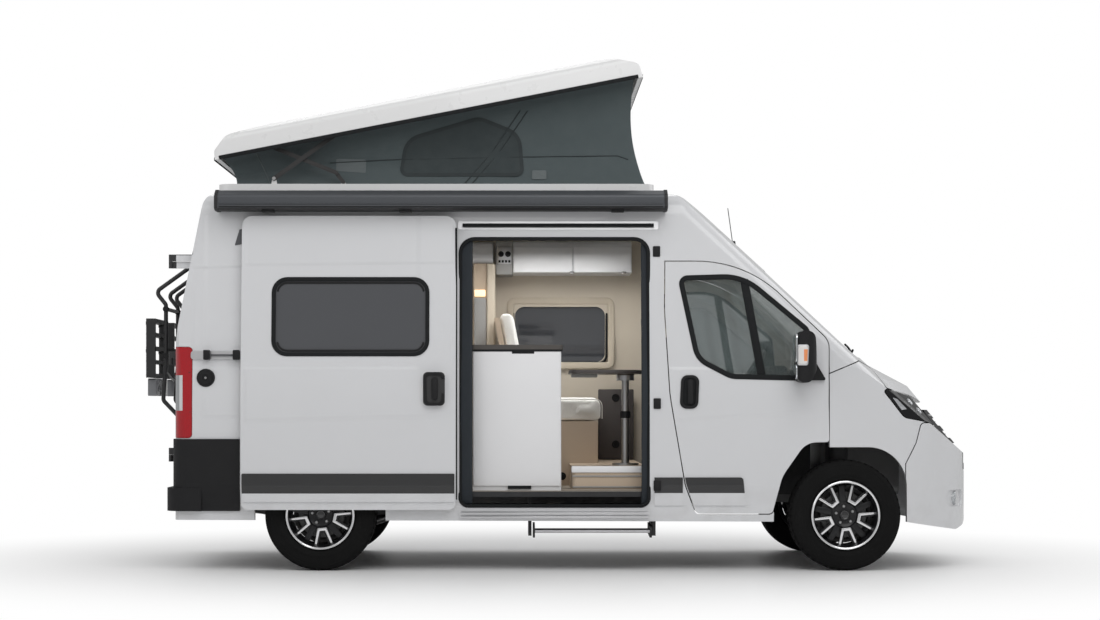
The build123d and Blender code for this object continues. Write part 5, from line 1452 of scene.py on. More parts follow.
@dataclass
class Nose(Assembly):
    """Lamp units, slats, fog lamps, wipers and blank plate of the front."""

    facets: tuple[tuple[str, Finish, tuple[Flat, ...]], ...] = (
        ("rear", REFLECTOR, ((2.163, 1.140), (2.196, 1.128), (2.262, 1.062), (2.226, 1.056))),
        ("upper", REFLECTOR, ((2.248, 1.116), (2.304, 1.118), (2.346, 1.078), (2.290, 1.076))),
        ("lower", REFLECTOR, ((2.296, 1.070), (2.352, 1.072), (2.384, 1.042), (2.326, 1.042))),
        ("guide", LIGHT_GUIDE, ((2.336, 1.030), (2.392, 1.032), (2.424, 1.006), (2.362, 1.004))),
    )
    bowls: tuple[Flat, ...] = ((2.336, 1.108), (2.402, 1.048))
    bowl_radius: float = 0.026
    slats: int = 4
    slat_pitch: float = 0.085
    fog_lamp: Flat = (0.660, 0.465)
    scuttle_edge: Flat = (1.860, 2.048)    # rear and front of the panel under the windscreen
    scuttle_bend: float = 0.180
    wiper_reach: tuple[Flat, ...] = ((0.060, -0.600), (0.700, 0.040))
    wiper_foot: Flat = (1.425, 0.012)      # height at its foot and its rise at each step
    glass_foot: float = 1.440

    def build(self) -> None:
        """Builds the nose's pieces."""
        self.lamps()
        self.front()
        self.scuttle()
        self.wipers()

    def lamps(self) -> None:
        """Reflectors, bowls and the light guide in each lamp."""
        skin = self.nodes["headlamps"]
        for name, finish, corners in self.facets:
            rows = [(x, z, 0.002) for x, z in corners]
            self.put_pair(Shop.patch(f"lamp_{name}_right", rows, skin, 0.0006, 0.0025, bevel=0.001), finish, "van")
        radius = self.bowl_radius
        for side, name in SIDES:
            for i, (x, z) in enumerate(self.bowls):
                start = Vector((x, side * RAY_START["side"], z))
                hit, spot, way, _ = skin.ray_cast(start, Vector((0, -side, 0)))
                if not hit:
                    LOG.warning("lamp bowl %d has nothing to sit on", i)
                    continue
                self.put(Shop.lathe(f"lamp_bowl_{i}_{name}", [
                    (0.0, 0.010), (radius * 0.40, 0.009), (radius * 0.55, 0.003), (radius * 0.85, 0.006),
                    (radius, 0.007), (radius, -0.002), (0.0, -0.002),
                ], tuple(spot), 28, tuple(way)), REFLECTOR)

    def front(self) -> None:
        """Grille slats, fog lamps and the blank plate."""
        face = [self.nodes["grille"], self.nodes["front_bumper"]]
        for i in range(self.slats):
            z = 0.716 + i * self.slat_pitch
            self.put(Shop.bowed(
                f"grille_slat_{i}", 0.424 - 0.008 * i, (z - 0.005, z + 0.005), face, 0.007, 0.010, level=z
            ), GLOSS_BLACK)
        self.put(Shop.bowed("front_plate", 0.260, (0.556, 0.640), face, 0.008, 0.006, 0.002), PLATE_WHITE)
        self.put(Shop.bowed("grille_top_bar", 0.450, (1.012, 1.026), face, 0.002, 0.008), GLOSS_BLACK)
        for side, name in SIDES:
            y, z = side * self.fog_lamp[0], self.fog_lamp[1]
            self.put(Shop.lathe(f"fog_lamp_{name}", [
                (0.0, 0.012), (0.026, 0.010), (0.036, 0.004), (0.044, 0.006), (0.048, 0.000), (0.048, -0.020),
                (0.0, -0.020),
            ], (Shop.nose_x(face, y, z), y, z), 32, (0.96, side * 0.28, 0.0)), LAMP_CLEAR)

    def scuttle(self) -> None:
        """Panel between the dashboard and the foot of the windscreen."""
        rows = [(1.868, 1.322, 0), (2.048, 1.378, 0), (2.044, 1.392, 0), (1.860, 1.336, 0)]
        panel = Shop.plate("scuttle_panel", rows, Axis.Y, (-0.800, 0.800), 0.003)
        Shop.rows_of(panel, 7)
        rear, front = self.scuttle_edge
        for vertex in panel.data.vertices:
            share = max(vertex.co.x - rear, 0.0) / (front - rear)
            vertex.co.x -= self.scuttle_bend * vertex.co.y ** 2 * share
        self.put(panel, DASH_PLASTIC)

    def wipers(self) -> None:
        """Two wipers on the windscreen and the aerial over the cab."""
        glass = self.nodes["windscreen"]
        foot, rise = self.wiper_foot
        for i, (y0, y1) in enumerate(self.wiper_reach):
            path = []
            for step in range(7):
                y, z = y0 + (y1 - y0) * step / 6, foot + rise * step
                path.append((Shop.nose_x([glass], y, max(z, self.glass_foot)) + 0.016, y, z))
            self.put(Shop.tube(f"wiper_blade_{i}", path, 0.007), SEAL_RUBBER)
            arm = [(path[1][0] + 0.010, y0 + 0.10, 1.402), (path[3][0] + 0.016, path[3][1], path[3][2] + 0.006)]
            self.put(Shop.tube(f"wiper_arm_{i}", arm, 0.008), SEAL_RUBBER)
        root = (1.213, 0.0, 2.205)
        self.put(Shop.tube("aerial_rod", [root, (1.176, 0.0, 2.473)], 0.0028), SEAL_RUBBER)
        self.put(Shop.lathe("aerial_foot", [
            (0.0, 0.040), (0.008, 0.036), (0.018, 0.010), (0.022, -0.010), (0.0, -0.010),
        ], root, 24, (0.25, 0, 1)), SEAL_RUBBER)


@dataclass
class Tail(Assembly):
    """Rear doors' handles, plate recess and seals, and the parting lines of the tail lamps."""

    window: tuple[Flat, ...] = ((0.150, 1.440), (0.740, 1.440), (0.725, 1.990), (0.150, 1.990))
    door_reach: Flat = (0.012, 0.860)      # inner and outer edge of a rear door
    door_top: float = 2.30
    stray: float = 0.15                    # a point that lies further off than this missed the door

    def build(self) -> None:
        """Builds the tail's pieces."""
        for side, name in SIDES:
            body, door = REAR_DOOR_BODY.format(name), f"rear_door_{name}"
            rows = inset_rows([(side * y, z, 0.060) for y, z in self.window], -0.012)
            self.put(self.on_tail(f"rear_window_rubber_{name}", rows, door, -0.004, 0.009, 0.028), SEAL_RUBBER, body)
            path = []
            for step in range(18):
                z = 0.62 + 1.66 * step / 17
                start = Vector((RAY_START["tail"], side * 0.016, z))
                hit, spot, _, _ = self.nodes[door].ray_cast(start, Vector((1, 0, 0)))
                if hit:
                    path.append((spot.x - 0.001, side * 0.008, z))
            self.put(Shop.tube(f"rear_door_seal_{name}", path, 0.005), SEAL_RUBBER, body)
        recess = box_rows((-0.640, -0.090), (0.700, 0.850), 0.020)
        piece = self.on_tail("plate_surround", recess, "rear_door_right", 0.0005, 0.010, 0.016)
        self.put(piece, MOULDED_BLACK, "rear_door_right_body")
        self.put(self.on_tail(
            "rear_plate", box_rows((-0.620, -0.100), (0.716, 0.826), 0.008), "rear_door_right", 0.001, 0.004
        ), PLATE_WHITE, "rear_door_right_body")
        for name, y, z, deep in (
            ("pull", (0.030, 0.200), (1.150, 1.215), 0.018), ("cup", (0.020, 0.212), (1.138, 1.228), 0.007),
        ):
            piece = self.on_tail(f"rear_handle_{name}", box_rows(y, z, 0.026), "rear_door_left", 0.001, deep)
            self.put(piece, MOULDED_BLACK, "rear_door_left_body")
        self.lamps()

    def on_tail(
        self, name: str, rows: Sequence[Row], node: str, out: float, thick: float, ring: float = 0.0
    ) -> Piece:
        """A plate or ring in (y, z) laid on the outer side of a rear door.

        Args:
            name: The piece's name.
            rows: The outline's corners.
            node: The door.
            out: Clearance from what it lies on.
            thick: Its thickness.
            ring: Width of the ring, or 0 for the whole face.

        Returns:
            The piece.
        """
        points = []
        low, high = self.door_reach
        for y, z in rounded(rows, 6):
            near = max(min(abs(y), high), low) * (1 if y > 0 else -1)
            start = Vector((RAY_START["tail"], near, min(z, self.door_top)))
            hit, spot, _, _ = self.nodes[node].ray_cast(start, Vector((1, 0, 0)))
            points.append(((spot.x if hit and spot.x < -2.2 else TAIL) - out, y, z))
        middle = sorted(point[0] for point in points)[len(points) // 2]
        points = [(x if abs(x - middle) < self.stray else middle, y, z) for x, y, z in points]
        return Shop.thicken(Shop.trace(name, points), (-thick, 0, 0), ring, 0.0015)

    def lamps(self) -> None:
        """Dark parting lines of the tall lamps."""
        skin = self.nodes["tail_lamps"]
        for i, z in enumerate((1.036, 1.296)):
            rows = [(-2.520, z, 0), (-2.446, z + 0.004, 0), (-2.446, z + 0.010, 0), (-2.520, z + 0.006, 0)]
            line = Shop.patch(f"tail_lamp_band_{i}_right", rows, skin, -0.001, 0.003, bevel=0)
            self.put_pair(line, DEEP_RED, "van")


@dataclass
class Racks(Assembly):
    """Rails, panel, knobs, strut and clamps of each of the two carriers on the rear doors."""

    back: float = -2.800
    inner: float = 0.140
    outer: float = 0.640
    rails: tuple[float, ...] = (1.292, 1.384, 1.476, 1.568, 1.652)

    def build(self) -> None:
        """Builds the right-hand carrier's details and mirrors them."""
        body = REAR_DOOR_BODY
        x = self.back
        for i, z in enumerate(self.rails):
            low, high = (x - 0.004, -self.outer - 0.010, z - 0.007), (x + 0.020, -self.inner + 0.010, z + 0.007)
            self.put_pair(Shop.block(f"rack_rail_{i}_right", low, high, 0.005, 3), RACK_BLACK, body)
        self.put_pair(Shop.plate(
            "rack_panel_right", box_rows((-self.outer + 0.020, -self.inner - 0.020), (1.150, 1.268), 0.012), Axis.X,
            (x + 0.004, x + 0.062), 0.004,
        ), SMOKED_PLASTIC, body)
        places = [(-y, z) for z in (1.455, 1.640) for y in (self.inner, self.outer)]
        for i, (y, z) in enumerate(places):
            self.put_pair(Shop.lathe(f"rack_knob_{i}_right", [
                (0.0, -0.020), (0.014, -0.020), (0.018, -0.014), (0.018, 0.0), (0.008, 0.004), (0.007, 0.040),
                (0.0, 0.040),
            ], (x + 0.016, y, z), 14, (1, 0, 0)), MOULDED_BLACK, body)
        strut = Shop.tube("rack_strut_right", [(x + 0.040, -0.150, 1.330), (x + 0.108, -0.150, 1.252)], 0.0085)
        self.put_pair(strut, PLAIN_STEEL, body)
        for name, z in (("upper", 1.735), ("lower", 1.420)):
            for y in (self.inner, self.outer):
                rows = [
                    (0.0, -0.020), (0.0185, -0.020), (0.0195, -0.016), (0.0195, 0.016), (0.0185, 0.020), (0.0, 0.020),
                ]
                clamp = Shop.lathe(f"rack_clamp_{name}_{int(y * 1000)}_right", rows, (x + 0.130, -y, z), 20)
                self.put_pair(clamp, MOULDED_BLACK, body)


@dataclass
class Awning(Assembly):
    """Front profile, caps and brackets of the awning's cassette."""

    ends: Flat = (-2.278, 0.678)
    cap: tuple[Row, ...] = (
        (-1.116, 2.386, 0.012), (-1.075, 2.372, 0.020), (-0.960, 2.372, 0.008), (-0.960, 2.486, 0.008),
        (-1.052, 2.486, 0.040), (-1.116, 2.450, 0.030),
    )

    def build(self) -> None:
        """Builds the awning's details."""
        x0, x1 = self.ends
        face = [(-1.1225, 2.404, 0), (-1.1245, 2.412, 0), (-1.1245, 2.446, 0.004), (-1.1225, 2.452, 0)]
        self.put(Shop.plate("awning_front_bar", face, Axis.X, (x0 + 0.024, x1 - 0.024), 0), AWNING_GREY)
        lip = Shop.block("awning_lip", (x0 + 0.030, -1.124, 2.3755), (x1 - 0.030, -1.108, 2.3845), 0.003)
        self.put(lip, MOULDED_BLACK)
        for i, x in enumerate((-1.932, -1.035, 0.354)):
            foot = Shop.block(f"awning_foot_{i}", (x - 0.042, -1.085, 2.350), (x + 0.042, -1.015, 2.366), 0.005)
            self.put(foot, MOULDED_BLACK)
        for name, span in (("rear", (x0 - 0.001, x0 + 0.020)), ("front", (x1 - 0.020, x1 + 0.001))):
            self.put(Shop.plate(f"awning_cap_{name}", self.cap, Axis.X, span, 0.004), MOULDED_BLACK)


def shell_point(length: float, height: float) -> Flat:
    """Point (x, z) of the raised shell's side.

    Args:
        length: Distance along its lower edge from the rear.
        height: Distance above that edge, square to it.

    Returns:
        The point.
    """
    way = (Vector(SHELL_FRONT) - Vector(SHELL_REAR)).normalized()
    spot = Vector(SHELL_REAR) + way * length + Vector((-way.y, way.x)) * height
    return spot.x, spot.y


@dataclass
class PopRoof(Assembly):
    """Rubber lip of the lifting shell and the linkage's pin heads."""

    half_width: float = 0.872
    lip: float = 0.022
    end: float = 0.030                 # how far the side lips stop short of the shell's ends

    def build(self) -> None:
        """Builds the pieces that ride on the shell and on its arms."""
        length = (Vector(SHELL_FRONT) - Vector(SHELL_REAR)).length
        rear, front = self.end, length - self.end
        for side, name in SIDES:
            y0, y1 = side * (self.half_width - 0.002), side * (self.half_width + 0.006)
            rows = [
                (*shell_point(along, height), 0.004)
                for along, height in ((rear, -0.004), (front, -0.004), (front, self.lip), (rear, self.lip))
            ]
            lip = Shop.plate(f"shell_lip_{name}", rows, Axis.Y, (min(y0, y1), max(y0, y1)), 0.002)
            self.put(lip, SEAL_RUBBER, "pop_roof")
        for name, at in (("rear", 0.0), ("front", length)):
            sign = -1 if name == "rear" else 1
            (xa, za), (xb, zb) = shell_point(at - 0.002 * sign, -0.004), shell_point(at + 0.005 * sign, self.lip)
            low, high = (min(xa, xb), -0.845, min(za, zb)), (max(xa, xb), 0.845, max(za, zb))
            self.put(Shop.block(f"shell_lip_{name}", low, high, 0.003), SEAL_RUBBER, "pop_roof")
        self.pins()

    def pins(self) -> None:
        """Round heads on the linkage's pins."""
        for name, x, z, y, body in (
            ("foot", -1.923, RIM_TOP + 0.044, 0.812, "van"),
            ("head", *shell_point(0.840, 0.035), 0.808, "long_arms"),
            ("cross", *shell_point(0.366, 0.035), 0.793, "cross_arms"),
        ):
            rows = [(0.0, -0.006), (0.010, -0.006), (0.013, -0.003), (0.013, 0.0), (0.0, 0.0)]
            self.put_pair(Shop.lathe(f"pin_{name}_right", rows, (x, -y, z), 20), PLAIN_STEEL, body)


@dataclass
class Tent(Assembly):
    """Tent cloth from the roof frame to the shell, with its windows, bands, straps and cord."""

    thick: float = 0.0022
    window: tuple[Row, ...] = (
        (-1.073, 2.642, 0.030), (-0.280, 2.642, 0.030), (-0.300, 2.900, 0.120), (-0.560, 3.000, 0.120),
        (-1.040, 2.860, 0.130),
    )
    patches: tuple[tuple[str, tuple[Flat, ...]], ...] = (
        ("rear", ((-1.520, 2.660), (-1.320, 2.645), (-1.320, 2.738), (-1.520, 2.742))),
        ("front", ((-0.205, 2.600), (-0.108, 2.600), (-0.108, 2.662), (-0.205, 2.662))),
    )
    cord: tuple[Flat, ...] = ((-1.560, 2.715), (-1.10, 2.738), (-0.45, 2.752), (0.370, 2.762), (0.44, 2.736))
    strap: tuple[Flat, ...] = ((-0.285, 3.060), (-0.480, 2.780), (-0.655, 2.572))
    rear_seam: tuple[Flat, ...] = ((-2.050, 2.770), (-1.960, 2.572))
    rows: int = 26                     # rings of the cloth above its foot
    side_steps: int = 110
    end_steps: int = 50
    foot: tuple[float, float, float] = (-2.179, 0.564, 0.735)
    fold_share: float = 0.40

    def corners(self, share: float) -> tuple[Flat, Flat, float]:
        """Rear and front (x, z) and half width of the cloth at a share of its height.

        Args:
            share: 0 at the foot, 1 at the shell.

        Returns:
            The two points and the half width.
        """
        top_rear, top_front = shell_point(0.040, 0.020), shell_point(2.845, 0.020)
        rear = Vector((self.foot[0], RIM_TOP + 0.002)).lerp(Vector(top_rear), share)
        front = Vector((self.foot[1] - 0.010, RIM_TOP + 0.002)).lerp(Vector(top_front), share)
        drawn = math.sin(math.pi * share) ** 0.8
        return (rear.x + 0.020 * drawn, rear.y), (front.x - 0.055 * drawn, front.y), self.foot[2] - 0.052 * drawn

    def build(self) -> None:
        """Builds the cloth and what is sewn on it."""
        cloth = self.cloth()
        extras = self.extras()
        Shop.thin_wall(cloth, self.thick)
        self.put(cloth, TENT_CLOTH, "van", "tent", smooth=60)
        for piece, finish in extras:
            self.put(piece, finish, "van", smooth=60)
        for piece in (cloth, *(piece for piece, _ in extras)):
            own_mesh(piece)

    def cloth(self) -> Piece:
        """Rings of cloth bridged from the frame to the shell, with folds pressed in.

        Returns:
            The cloth, still without its thickness.
        """
        Shop.start()
        loops = []
        for i in range(self.rows + 1):
            (x0, z0), (x1, z1), half = self.corners(i / self.rows)
            ring = []
            for (xa, ya), (xb, yb), steps in (
                ((x0, -half), (x1, -half), self.side_steps), ((x1, -half), (x1, half), self.end_steps),
                ((x1, half), (x0, half), self.side_steps), ((x0, half), (x0, -half), self.end_steps),
            ):
                for step in range(steps):
                    t = step / steps
                    x, y = xa + (xb - xa) * t, ya + (yb - ya) * t
                    ring.append((x, y, z0 + (z1 - z0) * (x - x0) / (x1 - x0)))
            loops.append(ring)
        count = len(loops[0])
        mesh = bpy.data.meshes.new("tent_cloth")
        faces = [
            (i * count + j, i * count + (j + 1) % count, (i + 1) * count + (j + 1) % count, (i + 1) * count + j)
            for i in range(self.rows) for j in range(count)
        ]
        mesh.from_pydata([p for ring in loops for p in ring], [], faces)
        cloth = bpy.data.objects.new("tent_cloth", mesh)
        bpy.context.scene.collection.objects.link(cloth)
        for i, ring in enumerate(loops):
            share = i / self.rows
            for j in range(count):
                spot = mesh.vertices[i * count + j].co
                side = abs(abs(spot.y) - self.corners(share)[2]) < 1e-4
                along = spot.x if side else spot.y
                push = self.fold(along, share, side)
                if side:
                    spot.y -= math.copysign(push, spot.y)
                else:
                    spot.x += push if spot.x < 0 else -push
        return cloth

    def fold(self, along: float, share: float, side: bool) -> float:
        """How far the cloth is drawn in at one place: tension folds that fan from the corners and a slack belly.

        Args:
            along: Place along the wall.
            share: Share of the wall's height.
            side: Whether it is a side wall.

        Returns:
            The distance.
        """
        held = math.sin(math.pi * share) ** 0.5
        fan = math.sin(along * 9.0 + share * 4.2) * 0.35 + math.sin(along * 21.0 - share * 6.0 + 1.3) * 0.22
        fine = math.sin(along * 47.0 + share * 11.0) * 0.08 + math.sin(along * 5.1 - 2.0 * share) * 0.5
        sag = math.exp(-((share - self.fold_share) / 0.16) ** 2)
        ripple, belly = (0.0065, 0.013) if side else (0.005, 0.010)
        return held * (ripple * (fan + fine) + belly * sag)

    def half_at(self, x: float, z: float) -> float:
        """Half width of the cloth at (x, z) of a side wall, found by halving the share of its height.

        Args:
            x: Place along the van.
            z: Height.

        Returns:
            The half width.
        """
        low, high = 0.0, 1.0
        for _ in range(24):
            share = (low + high) / 2
            (x0, z0), (x1, z1), _ = self.corners(share)
            level = z0 + (z1 - z0) * (x - x0) / (x1 - x0)
            low, high = (share, high) if level < z else (low, share)
        return self.corners(share)[2] - self.fold(x, share, True)

    def on_wall(
        self, name: str, rows: Sequence[Row], side: int, out: float, thick: float, ring: float = 0.0
    ) -> Piece:
        """A flat piece of cloth in (x, z) that follows the side wall.

        Args:
            name: The piece's name.
            rows: The outline's corners.
            side: -1 on the right, 1 on the left.
            out: Clearance from what it lies on.
            thick: Its thickness.
            ring: Width of the ring, or 0 for the whole face.

        Returns:
            The piece.
        """
        points = [(u, side * (self.half_at(u, v) + out), v) for u, v in rounded(rows, 6)]
        piece = Shop.trace(name, points)
        bpy.ops.mesh.inset(thickness=ring or 0.012)
        if ring:
            bpy.ops.mesh.delete(type="FACE")
        bpy.ops.mesh.select_all(action="SELECT")
        bpy.ops.mesh.quads_convert_to_tris()
        bpy.ops.mesh.subdivide(number_cuts=3)
        Shop.close()
        for vertex in piece.data.vertices:
            vertex.co.y = side * (self.half_at(vertex.co.x, vertex.co.z) + out)
        Shop.thin_wall(piece, thick)
        return piece

    def extras(self) -> list[tuple[Piece, Finish]]:
        """Windows, patches, straps, cord and hems of both sides.

        Returns:
            Each piece with its finish.
        """
        made = []
        hem_rows = inset_rows(self.window, -0.022)
        for side, name in SIDES:
            made.append((self.on_wall(f"tent_window_{name}", self.window, side, 0.0025, 0.0015), MESH_CLOTH))
            hem = self.on_wall(f"tent_window_hem_{name}", hem_rows, side, 0.0040, 0.0020, 0.024)
            made.append((hem, TENT_BAND))
            for spot, corners in self.patches:
                rows = [(x, z, 0.01) for x, z in corners]
                made.append((self.on_wall(f"tent_patch_{spot}_{name}", rows, side, 0.0025, 0.0016), TENT_PATCH))
            made.append((self.line(f"tent_cord_{name}", self.cord, side, 0.0032), TENT_BAND))
            for i, shift in enumerate((0.0, 0.050)):
                points = [(x + shift, z) for x, z in self.strap]
                made.append((self.line(f"tent_strap_{i}_{name}", points, side, 0.0036), TENT_BAND))
            made.append((self.line(f"tent_rear_seam_{name}", self.rear_seam, side, 0.0028), TENT_PATCH))
        return made

    def line(self, name: str, points: Sequence[Flat], side: int, radius: float) -> Piece:
        """A cord or strap along (x, z) points on the side wall.

        Args:
            name: The piece's name.
            points: The points as (x, z).
            side: -1 on the right, 1 on the left.
            radius: Half its thickness.

        Returns:
            The piece.
        """
        path = []
        for (xa, za), (xb, zb) in zip(points, points[1:]):
            for step in range(8):
                path.append((xa + (xb - xa) * step / 8, za + (zb - za) * step / 8))
        path.append(points[-1])
        return Shop.tube(name, [(x, side * (self.half_at(x, z) + radius), z) for x, z in path], radius)


# ---------------------------------------------------------------- living area
@dataclass(frozen=True)
class Padding:
    """How a padded piece is swelled: mesh size, air pressure, most travel and frames."""

    voxel: float
    pressure: float
    travel: float
    frames: int = 20


class Upholsterer:
    """Makes padded pieces from the solids that they stand for."""

    @staticmethod
    def pad(node: Piece, name: str, padding: Padding, fixed_below: float) -> Piece:
        """A crowned copy of a node, swelled by cloth pressure.

        Args:
            node: The solid that it stands for.
            name: The new piece's name.
            padding: How it is swelled.
            fixed_below: Height under which nothing moves, where it rests.

        Returns:
            The padded piece.
        """
        piece = Shop.copy(node, name)
        Shop.open(piece)
        bpy.ops.mesh.remove_doubles(threshold=0.0002)
        bpy.ops.transform.shrink_fatten(value=-0.006)
        Shop.close()
        Shop.modify(piece, "REMESH", mode="VOXEL", voxel_size=padding.voxel)
        before = [vertex.co.copy() for vertex in piece.data.vertices]
        Upholsterer.blow(piece, padding)
        for vertex, start in zip(piece.data.vertices, before):
            move = vertex.co - start
            if move.length > padding.travel:
                vertex.co = start + move.normalized() * padding.travel
            if start.z < fixed_below:
                vertex.co.z = max(vertex.co.z, start.z)
        Shop.modify(piece, "SMOOTH", factor=0.5, iterations=6)
        return piece

    @staticmethod
    def blow(piece: Piece, padding: Padding) -> None:
        """Lets cloth pressure swell a piece, and keeps the result.

        Args:
            piece: The piece.
            padding: How it is swelled.
        """
        Shop.take(piece)
        cloth = piece.modifiers.new("cloth", "CLOTH")
        cloth.settings.use_pressure = True
        cloth.settings.uniform_pressure_force = padding.pressure
        cloth.settings.effector_weights.gravity = 0.0
        cloth.settings.quality = 4
        cloth.settings.tension_stiffness = 25.0
        cloth.settings.compression_stiffness = 25.0
        cloth.point_cache.frame_start, cloth.point_cache.frame_end = 1, padding.frames
        for frame in range(1, padding.frames + 1):
            bpy.context.scene.frame_set(frame)
        bpy.ops.object.modifier_apply(modifier=cloth.name)
        bpy.context.scene.frame_set(1)

    @staticmethod
    def press(piece: Piece, seams: Sequence[tuple[int, float]], depth: float, reach: float) -> None:
        """Presses seams into a padded piece: each is a plane square to one axis.

        Args:
            piece: The padded piece.
            seams: Pairs of axis number and place along it.
            depth: How deep a seam lies at its middle.
            reach: How far from the seam the padding dips.
        """
        normals = [vertex.normal.copy() for vertex in piece.data.vertices]
        for vertex, normal in zip(piece.data.vertices, normals):
            dip = sum(math.exp(-((vertex.co[axis] - place) / reach) ** 2) for axis, place in seams)
            vertex.co -= normal * min(dip, 1.0) * depth


@dataclass
class Kitchen(Assembly):
    """Doors, grips and worktop edge of the kitchen block, with its drain and the overhead lockers' fronts."""

    block: tuple[Flat, Flat] = ((-0.598, -0.013), (0.524, 1.455))
    face_y: float = -0.900
    locker_doors: tuple[Flat, Flat] = ((-0.331, 0.096), (0.106, 0.526))
    locker_z: Flat = (2.056, 2.282)

    def build(self) -> None:
        """Builds the kitchen's and the lockers' pieces."""
        (x0, x1), (z0, z1) = self.block
        y = self.face_y
        self.put(Shop.block(
            "kitchen_side_panel", (x0 + 0.004, y - 0.012, z0 + 0.030), (x1 - 0.004, y + 0.001, z1 - 0.014), 0.003
        ), LAMINATE)
        self.put(Shop.block(
            "kitchen_top_line", (x0 - 0.010, y - 0.010, z1 - 0.012), (x1 + 0.010, y + 0.002, z1 + 0.001), 0.002
        ), SEAL_RUBBER)
        for name, u0, u1, v0, v1 in (("top", -0.339, -0.191, 1.428, 1.452), ("low", -0.366, -0.211, 0.534, 0.556)):
            notch = Shop.block(f"kitchen_notch_{name}", (u0, y - 0.014, v0), (u1, y - 0.010, v1), 0.0015)
            self.put(notch, SEAL_RUBBER)
        for i, (v0, v1) in enumerate(((1.190, 1.440), (0.880, 1.180), (0.560, 0.870))):
            self.put(Shop.plate(
                f"kitchen_drawer_{i}", box_rows((x0 + 0.012, x1 - 0.012), (v0, v1), 0.012), Axis.Y, (-0.421, -0.404),
                0.003,
            ), LAMINATE)
            middle, top = (x0 + x1) / 2, v1 - 0.035
            self.put(Shop.tube(f"kitchen_pull_{i}", [
                (middle - 0.07, -0.404, top), (middle - 0.07, -0.378, top), (middle + 0.07, -0.378, top),
                (middle + 0.07, -0.404, top),
            ], 0.005, 0.012,), PLAIN_STEEL)
        self.put(Shop.lathe("sink_drain", [
            (0.0, 0.002), (0.018, 0.002), (0.022, 0.005), (0.034, 0.004), (0.036, 0.0), (0.0, 0.0),
        ], (-0.320, -0.670, 1.346), 28, UP), CHROME)
        self.lockers()

    def lockers(self) -> None:
        """Two white doors with latches, and the grey end panel with its switches."""
        z0, z1 = self.locker_z
        for i, (x0, x1) in enumerate(self.locker_doors):
            door = Shop.block(f"locker_door_{i}", (x0, 0.548, z0), (x1, 0.561, z1 - 0.040), 0.004)
            Shop.lean_top(door, z0 + 0.02, 0.16)
            self.put(door, LAMINATE)
        for i, x in enumerate((0.093, 0.471)):
            self.put(Shop.plate(
                f"locker_latch_{i}", box_rows((x - 0.018, x + 0.018), (2.044, 2.062), 0.006), Axis.Y, (0.536, 0.552),
                0.003,
            ), CHROME)
        self.put(Shop.block("locker_end", (-0.462, 0.575, 2.040), (-0.339, 0.900, 2.286), 0.008), CABIN_GREY)
        self.put(Shop.plate(
            "switch_board", box_rows((-0.452, -0.348), (2.118, 2.242), 0.008), Axis.Y, (0.569, 0.578), 0.002
        ), SATIN_ALUMINIUM)
        for i, x in enumerate((-0.425, -0.374)):
            self.put(Shop.lathe(f"switch_dial_{i}", [
                (0.0, -0.016), (0.012, -0.015), (0.014, -0.010), (0.016, 0.0), (0.021, 0.001), (0.021, 0.004),
                (0.0, 0.004),
            ], (x, 0.567, 2.190), 24), MOULDED_BLACK)
        for i in range(4):
            self.put(Shop.block(
                f"switch_{i}", (-0.444 + i * 0.024, 0.564, 2.128), (-0.428 + i * 0.024, 0.571, 2.146), 0.002
            ), MOULDED_BLACK)


